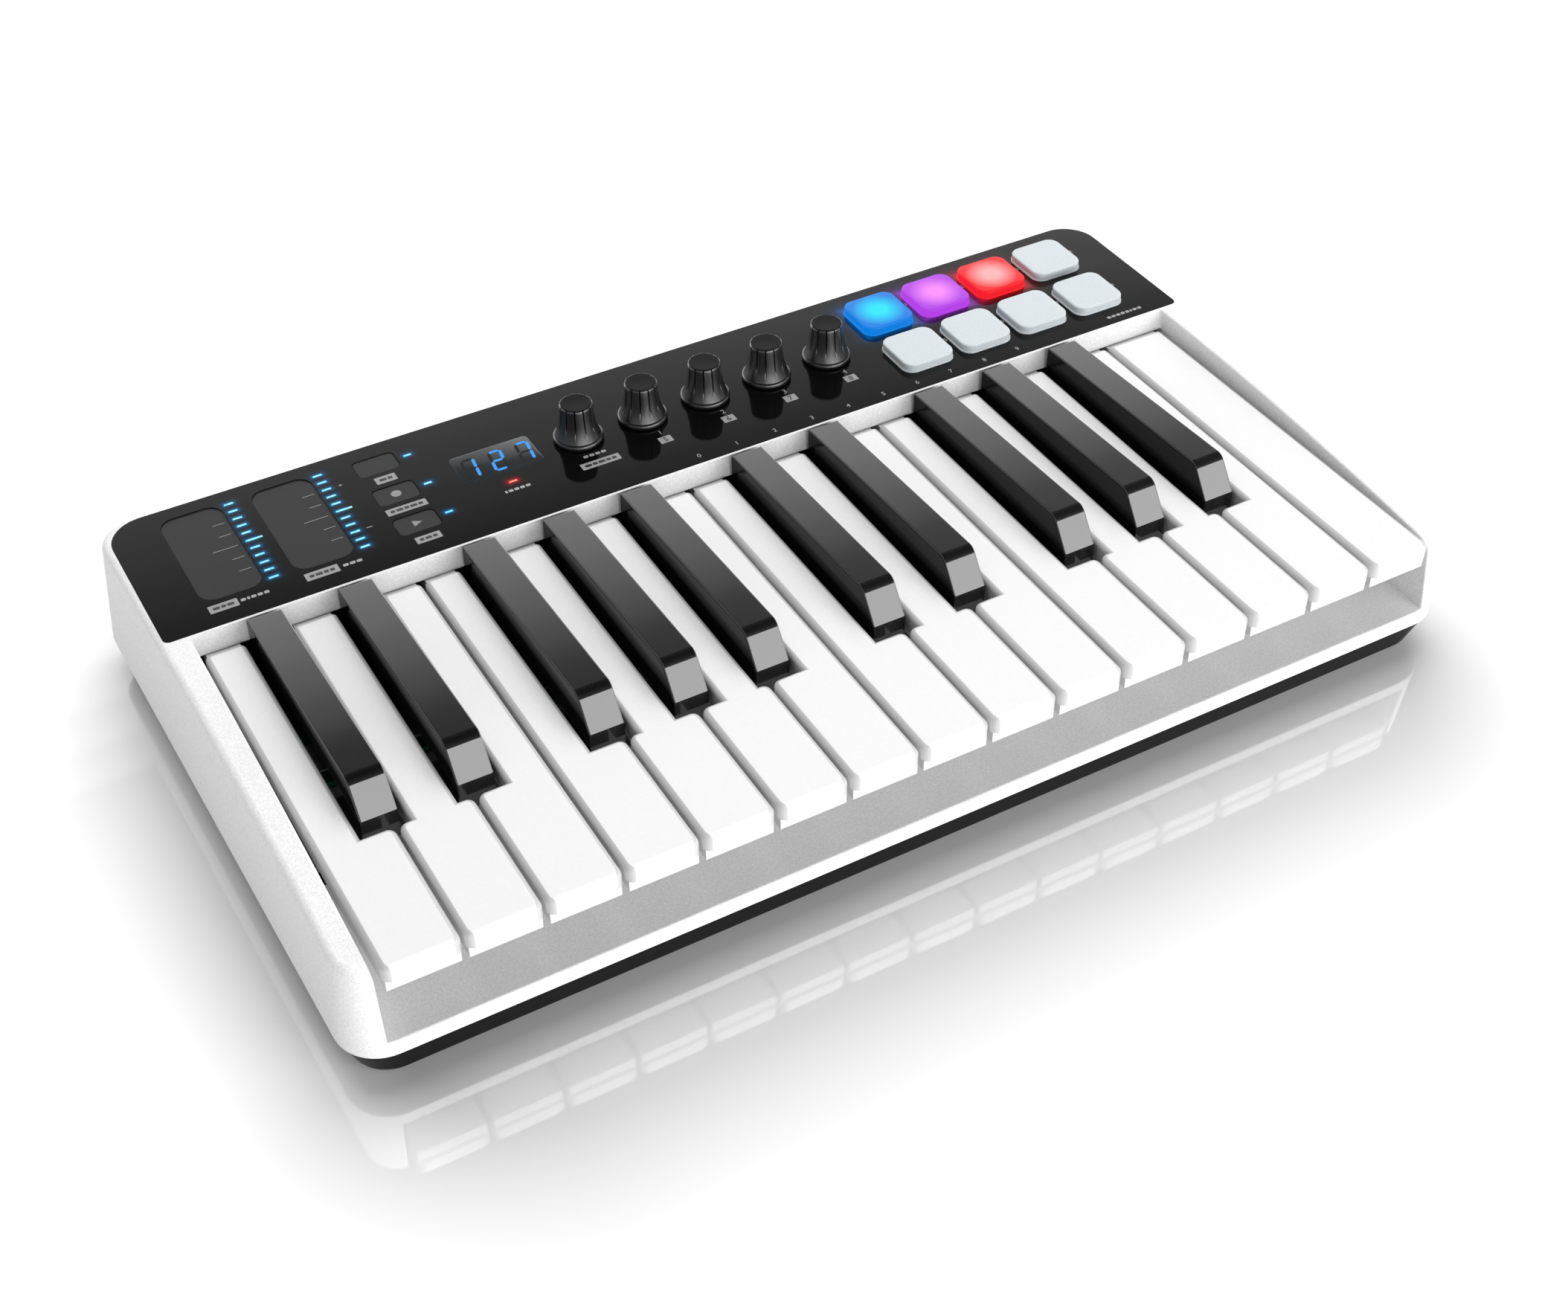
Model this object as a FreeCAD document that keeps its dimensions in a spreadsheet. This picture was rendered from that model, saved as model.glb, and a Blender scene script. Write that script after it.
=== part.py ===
import FreeCAD
import Part
import math
import os
import Sketcher

# A 25-note controller keyboard: a white one-piece top shell on a black tray, full-size keys
# on one pivot rod, and a black control panel with pads, knobs, buttons and touch strips.
# Axes: +X to the player's right, +Y to the back, +Z up. The origin is on the table, under
# the middle of the case. All sizes are millimetres.

SIZES = {
    # heights above the table
    "feet_height": 1.5, "tray_floor_top": 4.0, "parting_height": 12.6, "bed_height": 17.4,
    "skirt_bottom": 35.0, "cap_bottom": 39.0, "white_top": 44.25, "black_root": 45.0,
    "black_top": 55.4, "black_back_top": 51.8,
    "deck_bottom": 46.1, "panel_bottom": 48.2, "panel_top": 50.2, "case_top": 50.0,
    # case
    "case_depth": 215.0, "half_width_back": 191.5, "half_width_front": 188.6,
    "case_corner": 13.6, "top_inset": 3.4, "wall_thickness": 2.6, "rim_fillet": 2.4,
    "tray_inset": 0.4, "tray_slope_inset": 3.9, "tray_wall": 2.6,
    "bay_half_width": 177.8, "cheek_middle": 48.1, "cheek_front": 42.6,
    # keys
    "key_pitch": 23.5, "key_gap": 1.1, "skirt_gap": 2.2, "key_setback": 2.7,
    "cap_overhang": 1.2, "key_length": 140.8, "key_edge": 1.7, "cap_corner": 2.6,
    "key_back_edge": 2.6,
    "notch_front": 46.5, "notch_width": 14.8, "tail_inset": 1.0, "tail_bottom": 37.5,
    "tail_top": 42.5, "tail_length": 162.5,
    "black_width": 11.1, "black_front": 51.0, "black_top_front": 58.3, "black_length": 140.3,
    "black_tail_width": 8.4, "black_side_fillet": 0.5, "black_front_fillet": 3.8,
    "pivot_depth": 158.0, "pivot_height": 40.0, "rod_radius": 1.5, "rod_clearance": 0.05,
    # control panel
    "panel_half_width": 185.3, "panel_front": 144.1, "panel_back": 206.8, "panel_corner": 12.0,
    "panel_front_corner": 2.0, "panel_clearance": 0.1, "panel_lip": 1.0,
    "pad_size": 19.6, "pad_corner": 4.0, "pad_rise": 3.0, "pad_edge": 0.8, "pad_opening": 20.4,
    "pad_flange": 21.8, "pad_column": 88.6, "pad_row": 162.8, "pad_pitch_x": 23.65,
    "pad_pitch_y": 26.0,
    "knob_first": -34.6, "knob_pitch": 23.6, "knob_row": 176.0, "knob_height": 14.2,
    "knob_foot_radius": 8.4, "knob_top_radius": 5.3, "stem_radius": 3.0, "knob_hole": 3.8,
    "knob_lift": 0.4, "encoder_size": 12.0, "encoder_height": 7.0,
    "button_x": -98.0, "button_row": 161.0, "button_pitch": 17.3, "button_length": 13.9,
    "button_depth": 8.9, "button_corner": 2.0, "button_clearance": 0.2,
    "strip_x": -159.4, "strip_pitch": 29.8, "strip_row": 178.7, "strip_length": 45.0,
    "strip_width": 20.0, "strip_corner": 5.0, "strip_recess": 1.3, "strip_thickness": 1.0,
    "led_x": -146.4, "led_row": 178.7, "led_pitch": 4.18, "led_length": 3.4, "led_width": 0.9,
    "led_centre_length": 5.6, "status_led_x": -87.1,
    "window_x": -62.9, "window_row": 178.5, "window_length": 28.2, "window_depth": 16.2,
    "window_corner": 1.8, "bay_edge": 0.7,
    # inside
    "frame_bottom": 20.0, "frame_thickness": 2.5, "board_thickness": 1.6,
    "contact_depth": 98.0, "socket_height": 30.0, "socket_bore": 3.25, "socket_length": 14.0,
}

OCTAVE_WHITE = 7
WHITE_KEYS = 15
# white key index in the octave that has a black key on its right, and the name of the offset
BLACK_OFFSETS = {0: -2.85, 1: 2.5, 3: -3.6, 4: 0.2, 5: 3.8}
PAD_COLUMNS = 4
PAD_ROWS = 2
KNOBS = 5
BUTTONS = 3
LEDS = 11

doc = FreeCAD.newDocument("KeyboardController")
table = doc.addObject("Spreadsheet::Sheet", "Sizes")
for row, (alias, size) in enumerate(SIZES.items(), start=1):
    table.set("A%d" % row, alias)
    table.set("B%d" % row, str(size))
    table.setAlias("B%d" % row, alias)
doc.recompute()


class Dim:
    """A size: its number, and the same sum written over the sheet's aliases."""

    def __init__(self, value, text):
        self.value = value
        self.text = text

    @staticmethod
    def of(thing):
        return thing if isinstance(thing, Dim) else Dim(float(thing), "%.6g" % thing)

    def joined(self, other, sign, value):
        return Dim(value, "(%s %s %s)" % (self.text, sign, other.text))

    def __add__(self, other):
        other = Dim.of(other)
        return self.joined(other, "+", self.value + other.value)

    def __sub__(self, other):
        other = Dim.of(other)
        return self.joined(other, "-", self.value - other.value)

    def __mul__(self, factor):
        factor = Dim.of(factor)
        return self.joined(factor, "*", self.value * factor.value)

    def __truediv__(self, divisor):
        divisor = Dim.of(divisor)
        return self.joined(divisor, "/", self.value / divisor.value)

    def __neg__(self):
        return Dim(-self.value, "(0 - %s)" % self.text)


def size(alias):
    return Dim(SIZES[alias], "Sizes.%s" % alias)


CASE_FRONT = -size("case_depth") / 2
CASE_BACK = size("case_depth") / 2
KEY_FRONT = CASE_FRONT + size("key_setback")


def along(depth):
    """Y of a place that lies this far behind the front of the key skirts."""
    return KEY_FRONT + (size(depth) if isinstance(depth, str) else depth)


def bind(obj, prop, dim):
    obj.setExpression(prop, Dim.of(dim).text)


def new_body(label):
    body = doc.addObject("PartDesign::Body", "Body_" + label)
    body.Label = label
    return body


def origin_plane(body, role):
    return next(f for f in body.Origin.OriginFeatures if f.Role == role)


def new_sketch(body, name, height=None, role="XY_Plane"):
    sketch = body.newObject("Sketcher::SketchObject", name)
    sketch.AttachmentSupport = [(origin_plane(body, role), "")]
    sketch.MapMode = "FlatFace"
    if height is not None:
        bind(sketch, "AttachmentOffset.Base.z", height)
    return sketch


def hold(sketch, axis, geometry, position, dim):
    """Fix one coordinate of a sketch point to a size."""
    kind = "DistanceX" if axis == "x" else "DistanceY"
    index = sketch.addConstraint(
        Sketcher.Constraint(kind, -1, 1, geometry, position, dim.value))
    sketch.setExpression("Constraints[%d]" % index, dim.text)


def outline(sketch, corners):
    """A closed outline through sharp corners (x, y), or rounded ones (x, y, radius)."""
    corners = [tuple(Dim.of(c) for c in corner) for corner in corners]
    count = len(corners)
    points = [FreeCAD.Vector(c[0].value, c[1].value, 0) for c in corners]
    entries, exits, arcs = [], [], []
    for i, corner in enumerate(corners):
        before = (points[i - 1] - points[i]).normalize()
        after = (points[(i + 1) % count] - points[i]).normalize()
        if len(corner) < 3:
            entries.append(points[i])
            exits.append(points[i])
            arcs.append(None)
            continue
        radius = corner[2].value
        half = before.getAngle(after) / 2
        reach = radius / math.tan(half)
        entry = points[i] + before * reach
        leave = points[i] + after * reach
        middle = points[i] + (before + after).normalize() * (radius / math.sin(half))
        left_turn = before.cross(after).z < 0
        start, end = (entry, leave) if left_turn else (leave, entry)
        angles = [math.atan2(p.y - middle.y, p.x - middle.x) for p in (start, end)]
        if angles[1] < angles[0]:
            angles[1] += 2 * math.pi
        circle = Part.Circle(middle, FreeCAD.Vector(0, 0, 1), radius)
        arcs.append((Part.ArcOfCircle(circle, angles[0], angles[1]), left_turn))
        entries.append(entry)
        exits.append(leave)
    lines = [sketch.addGeometry(Part.LineSegment(exits[i], entries[(i + 1) % count]), False)
             for i in range(count)]
    for i, corner in enumerate(corners):
        line_in, line_out = lines[i - 1], lines[i]
        if arcs[i] is None:
            sketch.addConstraint(Sketcher.Constraint("Coincident", line_in, 2, line_out, 1))
            hold(sketch, "x", line_out, 1, corner[0])
            hold(sketch, "y", line_out, 1, corner[1])
            continue
        arc, left_turn = arcs[i]
        bend = sketch.addGeometry(arc, False)
        first, last = (1, 2) if left_turn else (2, 1)
        spot = sketch.addGeometry(Part.Point(points[i]), True)
        hold(sketch, "x", spot, 1, corner[0])
        hold(sketch, "y", spot, 1, corner[1])
        sketch.addConstraint(Sketcher.Constraint("PointOnObject", spot, 1, line_in))
        sketch.addConstraint(Sketcher.Constraint("PointOnObject", spot, 1, line_out))
        sketch.addConstraint(Sketcher.Constraint("Tangent", line_in, 2, bend, first))
        sketch.addConstraint(Sketcher.Constraint("Tangent", bend, last, line_out, 1))
        index = sketch.addConstraint(Sketcher.Constraint("Radius", bend, corner[2].value))
        sketch.setExpression("Constraints[%d]" % index, corner[2].text)


def rectangle(sketch, x, y, length, depth, corner=None):
    """A rectangle about (x, y), with rounded corners if a radius is given."""
    x, y = Dim.of(x), Dim.of(y)
    tail = () if corner is None else (corner,)
    half_x, half_y = length / 2, depth / 2
    outline(sketch, [(x - half_x, y - half_y) + tail, (x + half_x, y - half_y) + tail,
                     (x + half_x, y + half_y) + tail, (x - half_x, y + half_y) + tail])


def circle(sketch, x, y, radius):
    x, y = Dim.of(x), Dim.of(y)
    ring = sketch.addGeometry(
        Part.Circle(FreeCAD.Vector(x.value, y.value, 0), FreeCAD.Vector(0, 0, 1), radius.value))
    hold(sketch, "x", ring, 3, x)
    hold(sketch, "y", ring, 3, y)
    index = sketch.addConstraint(Sketcher.Constraint("Radius", ring, radius.value))
    sketch.setExpression("Constraints[%d]" % index, radius.text)


def recompute_checked(obj):
    doc.recompute()
    if "Invalid" in obj.State or "Error" in obj.State or obj.Shape.isNull():
        raise RuntimeError("%s failed: %s" % (obj.Name, obj.State))


def pad(body, sketch, length, symmetric=False):
    feature = body.newObject("PartDesign::Pad", sketch.Name + "_pad")
    feature.Profile = sketch
    bind(feature, "Length", length)
    feature.Midplane = symmetric
    recompute_checked(feature)
    return feature


def pocket(body, sketch, length, upward=False, symmetric=False):
    before = body.Shape.Volume
    feature = body.newObject("PartDesign::Pocket", sketch.Name + "_pocket")
    feature.Profile = sketch
    bind(feature, "Length", length)
    feature.Midplane = symmetric
    feature.Reversed = upward
    recompute_checked(feature)
    if feature.Shape.Volume > before - 0.5:
        raise RuntimeError("%s cuts nothing" % feature.Name)
    return feature


def loft(body, kind, bottom, top):
    feature = body.newObject("PartDesign::" + kind, bottom.Name + "_loft")
    feature.Profile = bottom
    feature.Sections = [top]
    feature.Ruled = True
    recompute_checked(feature)
    return feature


def place(feature, x, y, z):
    for letter, dim in (("x", x), ("y", y), ("z", z)):
        bind(feature, "Placement.Base." + letter, dim)


def block(body, kind, low, high):
    """An added or subtracted box between two corners."""
    low = [Dim.of(c) for c in low]
    high = [Dim.of(c) for c in high]
    feature = body.newObject("PartDesign::%sBox" % kind, body.Label + "_box")
    for prop, a, b in zip(("Length", "Width", "Height"), low, high):
        bind(feature, prop, b - a)
    place(feature, *low)
    recompute_checked(feature)
    return feature


def cylinder(body, kind, centre, radius, height, turn=None):
    """An added or subtracted cylinder that starts at centre and runs up, or along the turn."""
    feature = body.newObject("PartDesign::%sCylinder" % kind, body.Label + "_cylinder")
    bind(feature, "Radius", radius)
    bind(feature, "Height", height)
    if turn is not None:
        feature.Placement = FreeCAD.Placement(FreeCAD.Vector(), turn)
    place(feature, *centre)
    recompute_checked(feature)
    return feature


ALONG_X = FreeCAD.Rotation(FreeCAD.Vector(0, 1, 0), 90)
ALONG_Y = FreeCAD.Rotation(FreeCAD.Vector(1, 0, 0), -90)


def edge_names(shape, wanted):
    """Names of the shape's edges that the test accepts."""
    return ["Edge%d" % (i + 1) for i, edge in enumerate(shape.Edges) if wanted(edge)]


def fillet(body, wanted, radius):
    base = body.Tip
    names = edge_names(base.Shape, wanted)
    if not names:
        raise RuntimeError("no edges to round on " + body.Label)
    feature = body.newObject("PartDesign::Fillet", body.Label + "_fillet")
    feature.Base = (base, names)
    bind(feature, "Radius", radius)
    recompute_checked(feature)
    return feature


def at_height(edge, height):
    return all(abs(v.Z - height) < 1e-4 for v in edge.Vertexes)


def case_outline(sketch, inset):
    """The case's plan, a rounded trapezoid, drawn in by an inset all round."""
    back = size("half_width_back") - inset
    front = size("half_width_front") - inset
    low, high = CASE_FRONT + inset, CASE_BACK - inset
    corner = size("case_corner") - inset * 0.5
    outline(sketch, [(-front, low, corner), (front, low, corner),
                     (back, high, corner), (-back, high, corner)])


SCREW_X = (size("half_width_front") * 0.905, size("half_width_front") * 0.3)
SCREW_Y = (along(22.0), along(202.4))
SCREW_HEAD_RADIUS = 2.8
SCREW_HEAD_HEIGHT = 2.0
SCREW_RADIUS = 1.2
BOSS_RADIUS = 3.6
RUNNING_GAP = 0.05


def screw_places():
    return [(x * side, y) for x in SCREW_X for side in (-1, 1) for y in SCREW_Y]


SOCKETS = ((-120.0, "socket_bore"), (-95.0, "socket_bore"), (-30.0, "socket_bore"),
           (-5.0, "socket_bore"), (22.0, "mini_bore"))
MINI_BORE = 1.8
USB_X = 120.0
USB_LENGTH = 12.0
USB_HEIGHT = 7.0
BUSHING_WALL = 2.2


CROWN_SLOPE = 6.2
NOSE_RADIUS = 9.0


def make_top_case():
    """White shell: sloped walls, cheeks beside the keys, key bed, and the panel's deck."""
    body = new_body("top_case")
    bottom = new_sketch(body, "case_foot", size("parting_height"))
    case_outline(bottom, Dim.of(0))
    top = new_sketch(body, "case_head", size("case_top"))
    case_outline(top, size("top_inset"))
    loft(body, "AdditiveLoft", bottom, top)

    # cheek tops fall from the panel to the front corners and turn down into the front face
    side = new_sketch(body, "cheek_side", None, "YZ_Plane")
    back = (along("panel_front").value + 0.4, SIZES["case_top"])
    crown = (along(6.4).value, SIZES["cheek_front"])
    slope = math.radians(CROWN_SLOPE)
    middle = (crown[0] + NOSE_RADIUS * math.sin(slope), crown[1] - NOSE_RADIUS * math.cos(slope))

    def on_nose(degrees):
        angle = math.radians(degrees)
        return FreeCAD.Vector(middle[0] + NOSE_RADIUS * math.cos(angle),
                              middle[1] + NOSE_RADIUS * math.sin(angle), 0)

    def at(spot):
        return FreeCAD.Vector(spot[0], spot[1], 0)

    tip = on_nose(176)
    far, high = CASE_FRONT.value - 20, SIZES["case_top"] + 20
    edges = [Part.Arc(at(back), at((along(75.0).value, SIZES["cheek_middle"])), at(crown)),
             Part.Arc(at(crown), on_nose(135), tip)]
    spots = [(tip.x, tip.y), (far, tip.y), (far, high), (back[0], high), back]
    edges += [Part.LineSegment(at(a), at(b)) for a, b in zip(spots, spots[1:])]
    for edge in edges:
        side.addConstraint(Sketcher.Constraint("Block", side.addGeometry(edge, False)))
    pocket(body, side, size("half_width_back") * 2 + 20, symmetric=True)

    def outer_rim(edge):
        box = edge.BoundBox
        inner = (box.XLength > 50 and box.YMin > CASE_FRONT.value + 5
                 and box.YMax < CASE_BACK.value - 6)
        return box.ZMin > tip.y + 1 and box.ZLength < 20 and not inner
    fillet(body, outer_rim, size("rim_fillet"))

    # the bay that holds the keys, open at the front and above
    bay = new_sketch(body, "key_bay", None, "YZ_Plane")
    outline(bay, [(CASE_FRONT - 20, size("bed_height")), (along(146.0), size("bed_height")),
                  (along(146.0), size("tail_top") + 0.4), (along(142.0), size("tail_top") + 0.4),
                  (along("panel_front") - size("panel_lip"), size("case_top")),
                  (along("panel_front") - size("panel_lip"), size("case_top") + 20),
                  (CASE_FRONT - 20, size("case_top") + 20)])
    pocket(body, bay, size("bay_half_width") * 2, symmetric=True)
    inner_x, lip_z = SIZES["bay_half_width"], SIZES["bed_height"]

    def bay_rim(edge):
        box = edge.BoundBox
        on_cheek = (abs(abs(box.XMin) - inner_x) < 1e-3 and box.XLength < 1e-3
                    and box.ZMax > lip_z + 5 and box.YMax < back[0] + 0.1
                    and (box.YMin < crown[0] + 1 or box.ZMin > crown[1] - 0.5))
        lip = box.XLength > 300 and at_height(edge, lip_z) and box.YMax < CASE_FRONT.value + 5
        return on_cheek or lip
    fillet(body, bay_rim, size("bay_edge"))

    # hollow underside below the key bed, and below the panel's deck
    hollow = new_sketch(body, "under_bed", size("parting_height"))
    case_outline(hollow, size("wall_thickness"))
    pocket(body, hollow, size("bed_height") - size("parting_height") - 2.0, upward=True)
    back_room = new_sketch(body, "back_room", size("parting_height"))
    room_side = size("half_width_back") - size("top_inset") - size("wall_thickness") - 0.6
    rectangle(back_room, 0, (along(144.8) + CASE_BACK - 6.2) / 2, room_side * 2,
              CASE_BACK - 6.2 - along(144.8), size("case_corner") * 0.5)
    pocket(body, back_room, size("deck_bottom") - size("parting_height"), upward=True)
    bed_opening = new_sketch(body, "bed_opening", size("parting_height"))
    rectangle(bed_opening, 0, (along(60.0) + along(145.5)) / 2, size("bay_half_width") * 2,
              Dim.of(85.5))
    pocket(body, bed_opening, size("bed_height") - size("parting_height") + 1, upward=True)

    # seat for the control panel and the window through the deck below it
    seat = new_sketch(body, "panel_seat", size("panel_bottom"))
    panel_outline(seat, size("panel_clearance"), size("panel_front"))
    pocket(body, seat, Dim.of(10), upward=True)
    window = new_sketch(body, "deck_window", size("deck_bottom") - 0.5)
    rectangle(window, 0, (along(151.0) + along(201.5)) / 2, size("panel_half_width") * 2 - 14,
              Dim.of(50.5), Dim.of(4))
    pocket(body, window, Dim.of(6), upward=True)

    # holes in the back wall for the sockets
    for x, bore in SOCKETS:
        radius = (size("socket_bore") if bore == "socket_bore" else Dim.of(MINI_BORE))
        cylinder(body, "Subtractive", (x, CASE_BACK - 12, size("socket_height")),
                 radius + BUSHING_WALL + RUNNING_GAP, Dim.of(20), ALONG_Y)
    block(body, "Subtractive",
          (USB_X - USB_LENGTH / 2 - RUNNING_GAP, CASE_BACK - 12,
           size("socket_height") - USB_HEIGHT / 2 - RUNNING_GAP),
          (USB_X + USB_LENGTH / 2 + RUNNING_GAP, CASE_BACK + 8,
           size("socket_height") + USB_HEIGHT / 2 + RUNNING_GAP))

    # posts that take the case screws
    for x, y in screw_places():
        front = y.value < 0
        roof = size("bed_height") - 1 if front else size("deck_bottom") + 1
        foot = size("tray_floor_top") + 0.15
        cylinder(body, "Additive", (x, y, foot), Dim.of(BOSS_RADIUS), roof - foot)
        cylinder(body, "Subtractive", (x, y, foot - 1), Dim.of(SCREW_RADIUS + RUNNING_GAP),
                 Dim.of(11))
    return body


def panel_outline(sketch, clearance, front):
    side = size("panel_half_width") + clearance
    back = along("panel_back") + clearance
    near = KEY_FRONT + front - clearance
    outline(sketch, [(-side, near, size("panel_front_corner")),
                     (side, near, size("panel_front_corner")),
                     (side, back, size("panel_corner")), (-side, back, size("panel_corner"))])


def make_bottom_case():
    """Black tray whose sides slope in towards the table."""
    body = new_body("bottom_case")
    foot = new_sketch(body, "tray_foot", size("feet_height"))
    case_outline(foot, size("tray_inset") + size("tray_slope_inset"))
    rim = new_sketch(body, "tray_rim", size("parting_height") - RUNNING_GAP)
    case_outline(rim, size("tray_inset"))
    loft(body, "AdditiveLoft", foot, rim)
    floor = new_sketch(body, "tray_floor", size("tray_floor_top"))
    case_outline(floor, size("tray_inset") + size("tray_slope_inset") + size("tray_wall") - 1)
    mouth = new_sketch(body, "tray_mouth", size("parting_height") + 1)
    case_outline(mouth, size("tray_inset") + size("tray_wall"))
    loft(body, "SubtractiveLoft", floor, mouth)
    for x, y in screw_places():
        cylinder(body, "Subtractive", (x, y, 0), Dim.of(SCREW_HEAD_RADIUS + 0.2),
                 size("feet_height") + SCREW_HEAD_HEIGHT - 1)
        cylinder(body, "Subtractive", (x, y, 0), Dim.of(SCREW_RADIUS + 0.2), Dim.of(10))
    for x in PILLAR_X:
        for depth in PILLAR_DEPTHS:
            cylinder(body, "Additive", (x, along(depth), size("tray_floor_top") - 1),
                     Dim.of(4), size("frame_bottom") - size("tray_floor_top") + 1 - RUNNING_GAP)
    return body


PILLAR_X = (-140.0, -20.0, 100.0)
PILLAR_DEPTHS = (72.0, 140.0)


def make_control_panel():
    """Black panel with openings for every control that passes through it."""
    body = new_body("control_panel")
    plate = new_sketch(body, "panel_plate", size("panel_bottom"))
    panel_outline(plate, Dim.of(0), size("panel_front"))
    pad(body, plate, size("panel_top") - size("panel_bottom"))
    through = size("panel_top") - size("panel_bottom") + 1

    def opening(name, draw):
        sketch = new_sketch(body, name, size("panel_top") + 0.5)
        draw(sketch)
        return pocket(body, sketch, through)

    def draw_pad(sketch, x, y):
        rectangle(sketch, x, y, size("pad_opening"), size("pad_opening"),
                  size("pad_corner") + 0.4)

    def draw_knobs(sketch):
        for x in knob_places():
            circle(sketch, x, along("knob_row"), size("knob_hole"))

    def draw_buttons(sketch):
        gap = size("button_clearance") * 2
        for y in button_places():
            rectangle(sketch, size("button_x"), y, size("button_length") + gap,
                      size("button_depth") + gap, size("button_corner"))

    def draw_leds(sketch, places):
        for x, y, length in places:
            rectangle(sketch, x, y, length + 2 * RUNNING_GAP, size("led_width") + 2 * RUNNING_GAP)

    def draw_window(sketch):
        rectangle(sketch, size("window_x"), along("window_row"),
                  size("window_length") + 2 * RUNNING_GAP,
                  size("window_depth") + 2 * RUNNING_GAP, size("window_corner"))

    for i, (x, y) in enumerate(pad_places(), start=1):
        opening("pad_opening_%d" % i, lambda sketch: draw_pad(sketch, x, y))
    opening("knob_holes", draw_knobs)
    opening("button_openings", draw_buttons)
    leds = led_places()
    for i in range(0, len(leds), LEDS // 2 + 1):
        opening("led_openings_%d" % i,
                lambda sketch: draw_leds(sketch, leds[i:i + LEDS // 2 + 1]))
    opening("window_opening", draw_window)
    recess = new_sketch(body, "strip_recess", size("panel_top") + 0.5)
    for x in strip_places():
        rectangle(recess, x, along("strip_row"), size("strip_width") + 2 * RUNNING_GAP,
                  size("strip_length") + 2 * RUNNING_GAP, size("strip_corner"))
    pocket(body, recess, size("strip_recess") + 0.5)
    return body


def pad_places():
    return [(size("pad_column") + size("pad_pitch_x") * column,
             along("pad_row") + size("pad_pitch_y") * row)
            for row in range(PAD_ROWS - 1, -1, -1) for column in range(PAD_COLUMNS)]


def knob_places():
    return [size("knob_first") + size("knob_pitch") * i for i in range(KNOBS)]


def button_places():
    return [along("button_row") + size("button_pitch") * i for i in range(BUTTONS - 1, -1, -1)]


def strip_places():
    return [size("strip_x") + size("strip_pitch") * i for i in range(2)]


def led_places():
    """Two columns of lights beside the touch strips, one by each button, one by the window."""
    places = []
    for column in range(2):
        x = size("led_x") + size("strip_pitch") * column
        for i in range(LEDS):
            middle = i == LEDS // 2
            length = size("led_centre_length") if middle else size("led_length")
            x_here = x + (length - size("led_length")) / 2 if middle else x
            places.append((x_here, along("led_row") + size("led_pitch") * (i - LEDS // 2),
                           length))
    for y in button_places():
        places.append((size("status_led_x"), y, size("led_length") * 0.8))
    places.append((size("window_x"), along("window_row") - 13.0, size("led_length")))
    return places


def make_light_pipes():
    group = []
    for x, y, length in led_places():
        part = doc.addObject("Part::Box", "light_pipe")
        bind(part, "Length", length)
        bind(part, "Width", size("led_width"))
        bind(part, "Height", size("panel_top") - size("panel_bottom"))
        place(part, x - length / 2, y - size("led_width") / 2, size("panel_bottom"))
        group.append(part)
    return compound("led_light_pipes", group)


def compound(label, parts):
    group = doc.addObject("Part::Compound", "Group_" + label)
    group.Label = label
    group.Links = parts
    return group


def make_display():
    window = new_body("display_window")
    face = new_sketch(window, "window_face", size("panel_bottom"))
    rectangle(face, size("window_x"), along("window_row"), size("window_length"),
              size("window_depth"), size("window_corner"))
    pad(window, face, size("panel_top") - size("panel_bottom"))
    module = new_body("display_module")
    base = new_sketch(module, "module_base", BOARD_TOP)
    rectangle(base, size("window_x"), along("window_row"), size("window_length") - 1,
              size("window_depth") - 1)
    pad(module, base, size("panel_bottom") - BOARD_TOP - RUNNING_GAP)
    return [window, module]


def make_touch_strips():
    strips = []
    for name, x in zip(("left", "right"), strip_places()):
        body = new_body("touch_strip_" + name)
        face = new_sketch(body, "strip_face_" + name,
                          size("panel_top") - size("strip_recess"))
        rectangle(face, x, along("strip_row"), size("strip_width"), size("strip_length"),
                  size("strip_corner"))
        pad(body, face, size("strip_thickness"))
        strips.append(body)
    return strips


def white_strip(index):
    """Left and right X of a white key: full width in front, and between the black keys."""
    left = size("key_pitch") * (index - WHITE_KEYS / 2)
    right = left + size("key_pitch")
    half_gap = size("key_gap") / 2
    half_notch = size("notch_width") / 2
    step = index % OCTAVE_WHITE
    back_left, back_right = left + half_gap, right - half_gap
    if step in BLACK_OFFSETS and index < WHITE_KEYS - 1:
        back_right = right + BLACK_OFFSETS[step] - half_notch
    if step - 1 in BLACK_OFFSETS and index > 0:
        back_left = left + BLACK_OFFSETS[step - 1] + half_notch
    return left + half_gap, right - half_gap, back_left, back_right


def key_plan(sketch, index, front, inset, rounded):
    """Plan of a white key, drawn in at the sides by an inset."""
    left, right, back_left, back_right = white_strip(index)
    notch = along("notch_front")
    back = along("key_length")
    corner = (size("cap_corner"),) if rounded else ()
    points = [(left + inset, front) + corner, (right - inset, front) + corner]
    if back_right.value < right.value - 0.1:
        points += [(right - inset, notch - inset) + corner, (back_right - inset, notch - inset)]
    points.append((back_right - inset, back))
    points.append((back_left + inset, back))
    if back_left.value > left.value + 0.1:
        points += [(back_left + inset, notch - inset), (left + inset, notch - inset) + corner]
    outline(sketch, points)


def bore_for_rod(body):
    cylinder(body, "Subtractive", (-size("half_width_back"), along("pivot_depth"),
                                   size("pivot_height")),
             size("rod_radius") + size("rod_clearance"), size("half_width_back") * 2, ALONG_X)


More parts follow.
